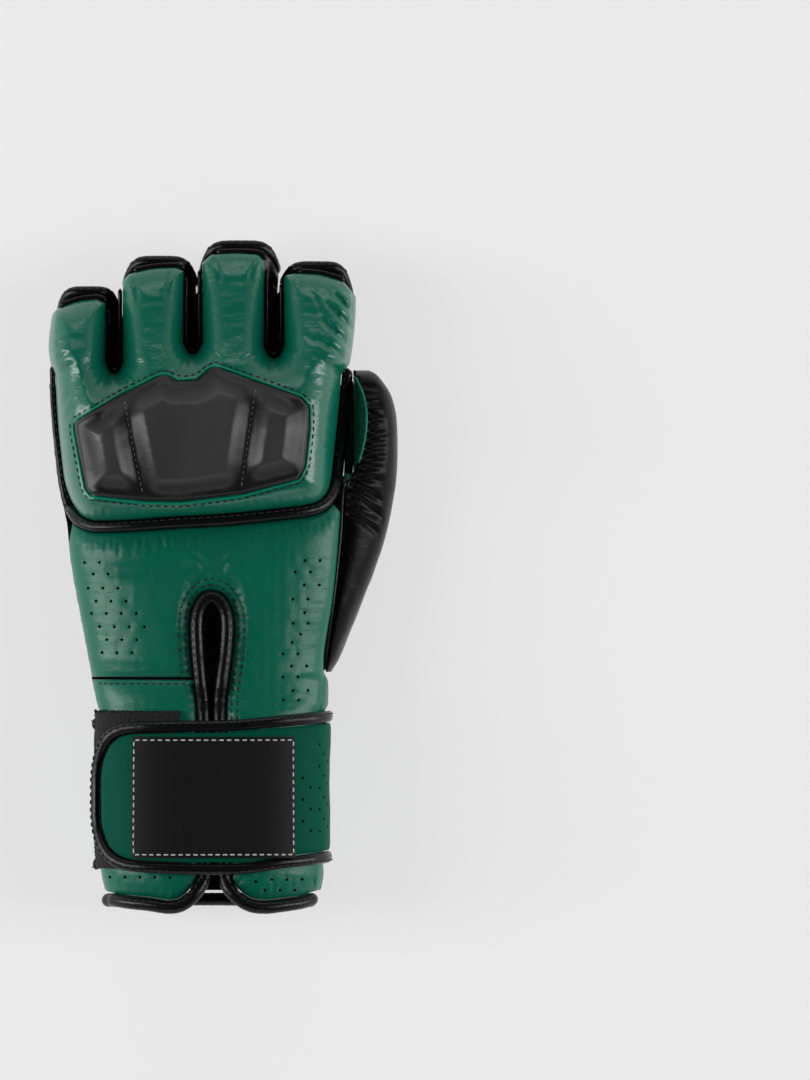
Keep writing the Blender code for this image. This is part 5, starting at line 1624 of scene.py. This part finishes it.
def fuzz():
    """Short loose loops at the ragged end of the loop patch."""
    chance = np.random.default_rng(121)
    template = [(2, 1, 0)]
    for ring in (0, 3):
        template += [(ring + k, ring + (k + 1) % 3, ring + 3 + (k + 1) % 3, ring + 3 + k) for k in range(3)]
    template += [(6 + k, 6 + (k + 1) % 3, 9) for k in range(3)]
    points, faces = [], []
    for _ in range(LOOSE_LOOPS):
        y = along(chance.uniform(LOOP_ALONG[1], LOOP_ALONG[0]))
        at_end = chance.uniform() < LOOPS_AT_END
        angle = LOOP_ANGLES[1] - abs(chance.normal(0, 3.0)) if at_end else chance.uniform(*LOOP_ANGLES)
        if angle < LOOP_ANGLES[1] - 4:
            y = along(LOOP_ALONG[0]) + chance.uniform(-0.4, 0.1) * MM
        spot, out = ring_point(y, angle, CLEARANCE + LOOP_WALL - 0.3 * MM)
        first = len(points)
        points += loose_loop(spot, out, chance)
        faces += [tuple(first + i for i in face) for face in template]
    solid("loop_fuzz", np.array(points), faces, [LOOP_FABRIC])


def build():
    """Every piece of the glove."""
    outline = pad_outline()
    pad_piece = knuckle_pad(outline)
    panel_piece = knuckle_panel(outline)
    rolls = pad_binding()
    slot_pipings()
    tip_pipings()
    gap_linings()
    rolls += fingers()
    slit = slit_line()
    round_slit, down_leg = slit_edges(slit)
    seam_end = np.array([down_leg[0, 0], along(WRIST_SEAM) - SEAM_GAP])
    quilt = [shifted(round_slit, -distance) for distance in SLIT_STITCHES]
    back = back_panel(round_slit, quilt)
    cuff = cuff_panel(down_leg, seam_end, quilt)
    rolls += cuff_binding(slit)
    palm()
    loop_patch()
    wrist_strap()
    strap_patch()
    strap_rows = strap_binding()
    gusset()
    rolls += thumb_shell() + strap_rows
    thumb_web()
    stitches("binding_stitches", rolls, DARK_THREAD)
    stitches("patch_stitches", patch_rows(), PALE_THREAD)
    seams(pad_piece, panel_piece, back, cuff, round_slit, seam_end)
    fuzz()


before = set(bpy.data.objects)
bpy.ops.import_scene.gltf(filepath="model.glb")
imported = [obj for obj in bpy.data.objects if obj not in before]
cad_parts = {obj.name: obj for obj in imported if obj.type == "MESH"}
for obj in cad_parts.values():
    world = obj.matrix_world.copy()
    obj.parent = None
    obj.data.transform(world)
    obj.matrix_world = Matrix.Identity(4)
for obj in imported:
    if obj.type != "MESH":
        bpy.data.objects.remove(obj)
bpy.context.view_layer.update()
SHIFT = frame_shift()
GREEN_LEATHER = leather("green_leather", GREEN, (0.27, 0.38), shine=0.32)
PAD_LEATHER = leather("pad_leather", GREEN, (0.20, 0.30), wrinkle=0.16, shine=0.6)
# The green leather at 0.6 of its colour on the strap: painted shade where the light falls off toward the
# wrist
STRAP_SHADED_LEATHER = leather("strap_leather", tinted(GREEN, 0.6), (0.42, 0.52), shine=0.03)
# Green at 1.7 times for the rolled lips: a painted highlight on their edges
LIP_HIGHLIGHT_LEATHER = leather("green_lip_leather", tinted(GREEN, 1.7), (0.30, 0.38))
BLACK_LEATHER = leather("black_leather", BLACK, (0.22, 0.34))
# The black leather at 0.4 of its colour on the thumb: painted shade where the thumb reads darker under these
# lights
THUMB_SHADED_LEATHER = leather("thumb_leather", tinted(BLACK, 0.4), (0.26, 0.36), stretch=(300, 300, 300),
                        shine=0.12)
PANEL_LEATHER = leather("panel_leather", PANEL_BLACK, (0.30, 0.40), grain=0.02, wrinkle=0.03, shine=0.35,
                        wear_and_sheen_colour=PANEL_WEAR_AND_SHEEN)
PATCH_LEATHER = leather("patch_leather", PATCH_BLACK, (0.40, 0.45), grain=0.02, wrinkle=0.03, shine=0.1)
LOOP_FABRIC = fabric("loop_fabric", LOOP_BLACK)
# Black for the faces inside the punched holes: painted shade
HOLE_SHADE = thread("hole_inside", HOLE_SHADE_BLACK)
DARK_THREAD = thread("dark_thread", THREAD_DARK)
GREY_THREAD = thread("grey_thread", THREAD_GREY)
PALE_THREAD = thread("pale_thread", THREAD_PALE)
floor()
studio()
camera()
build()
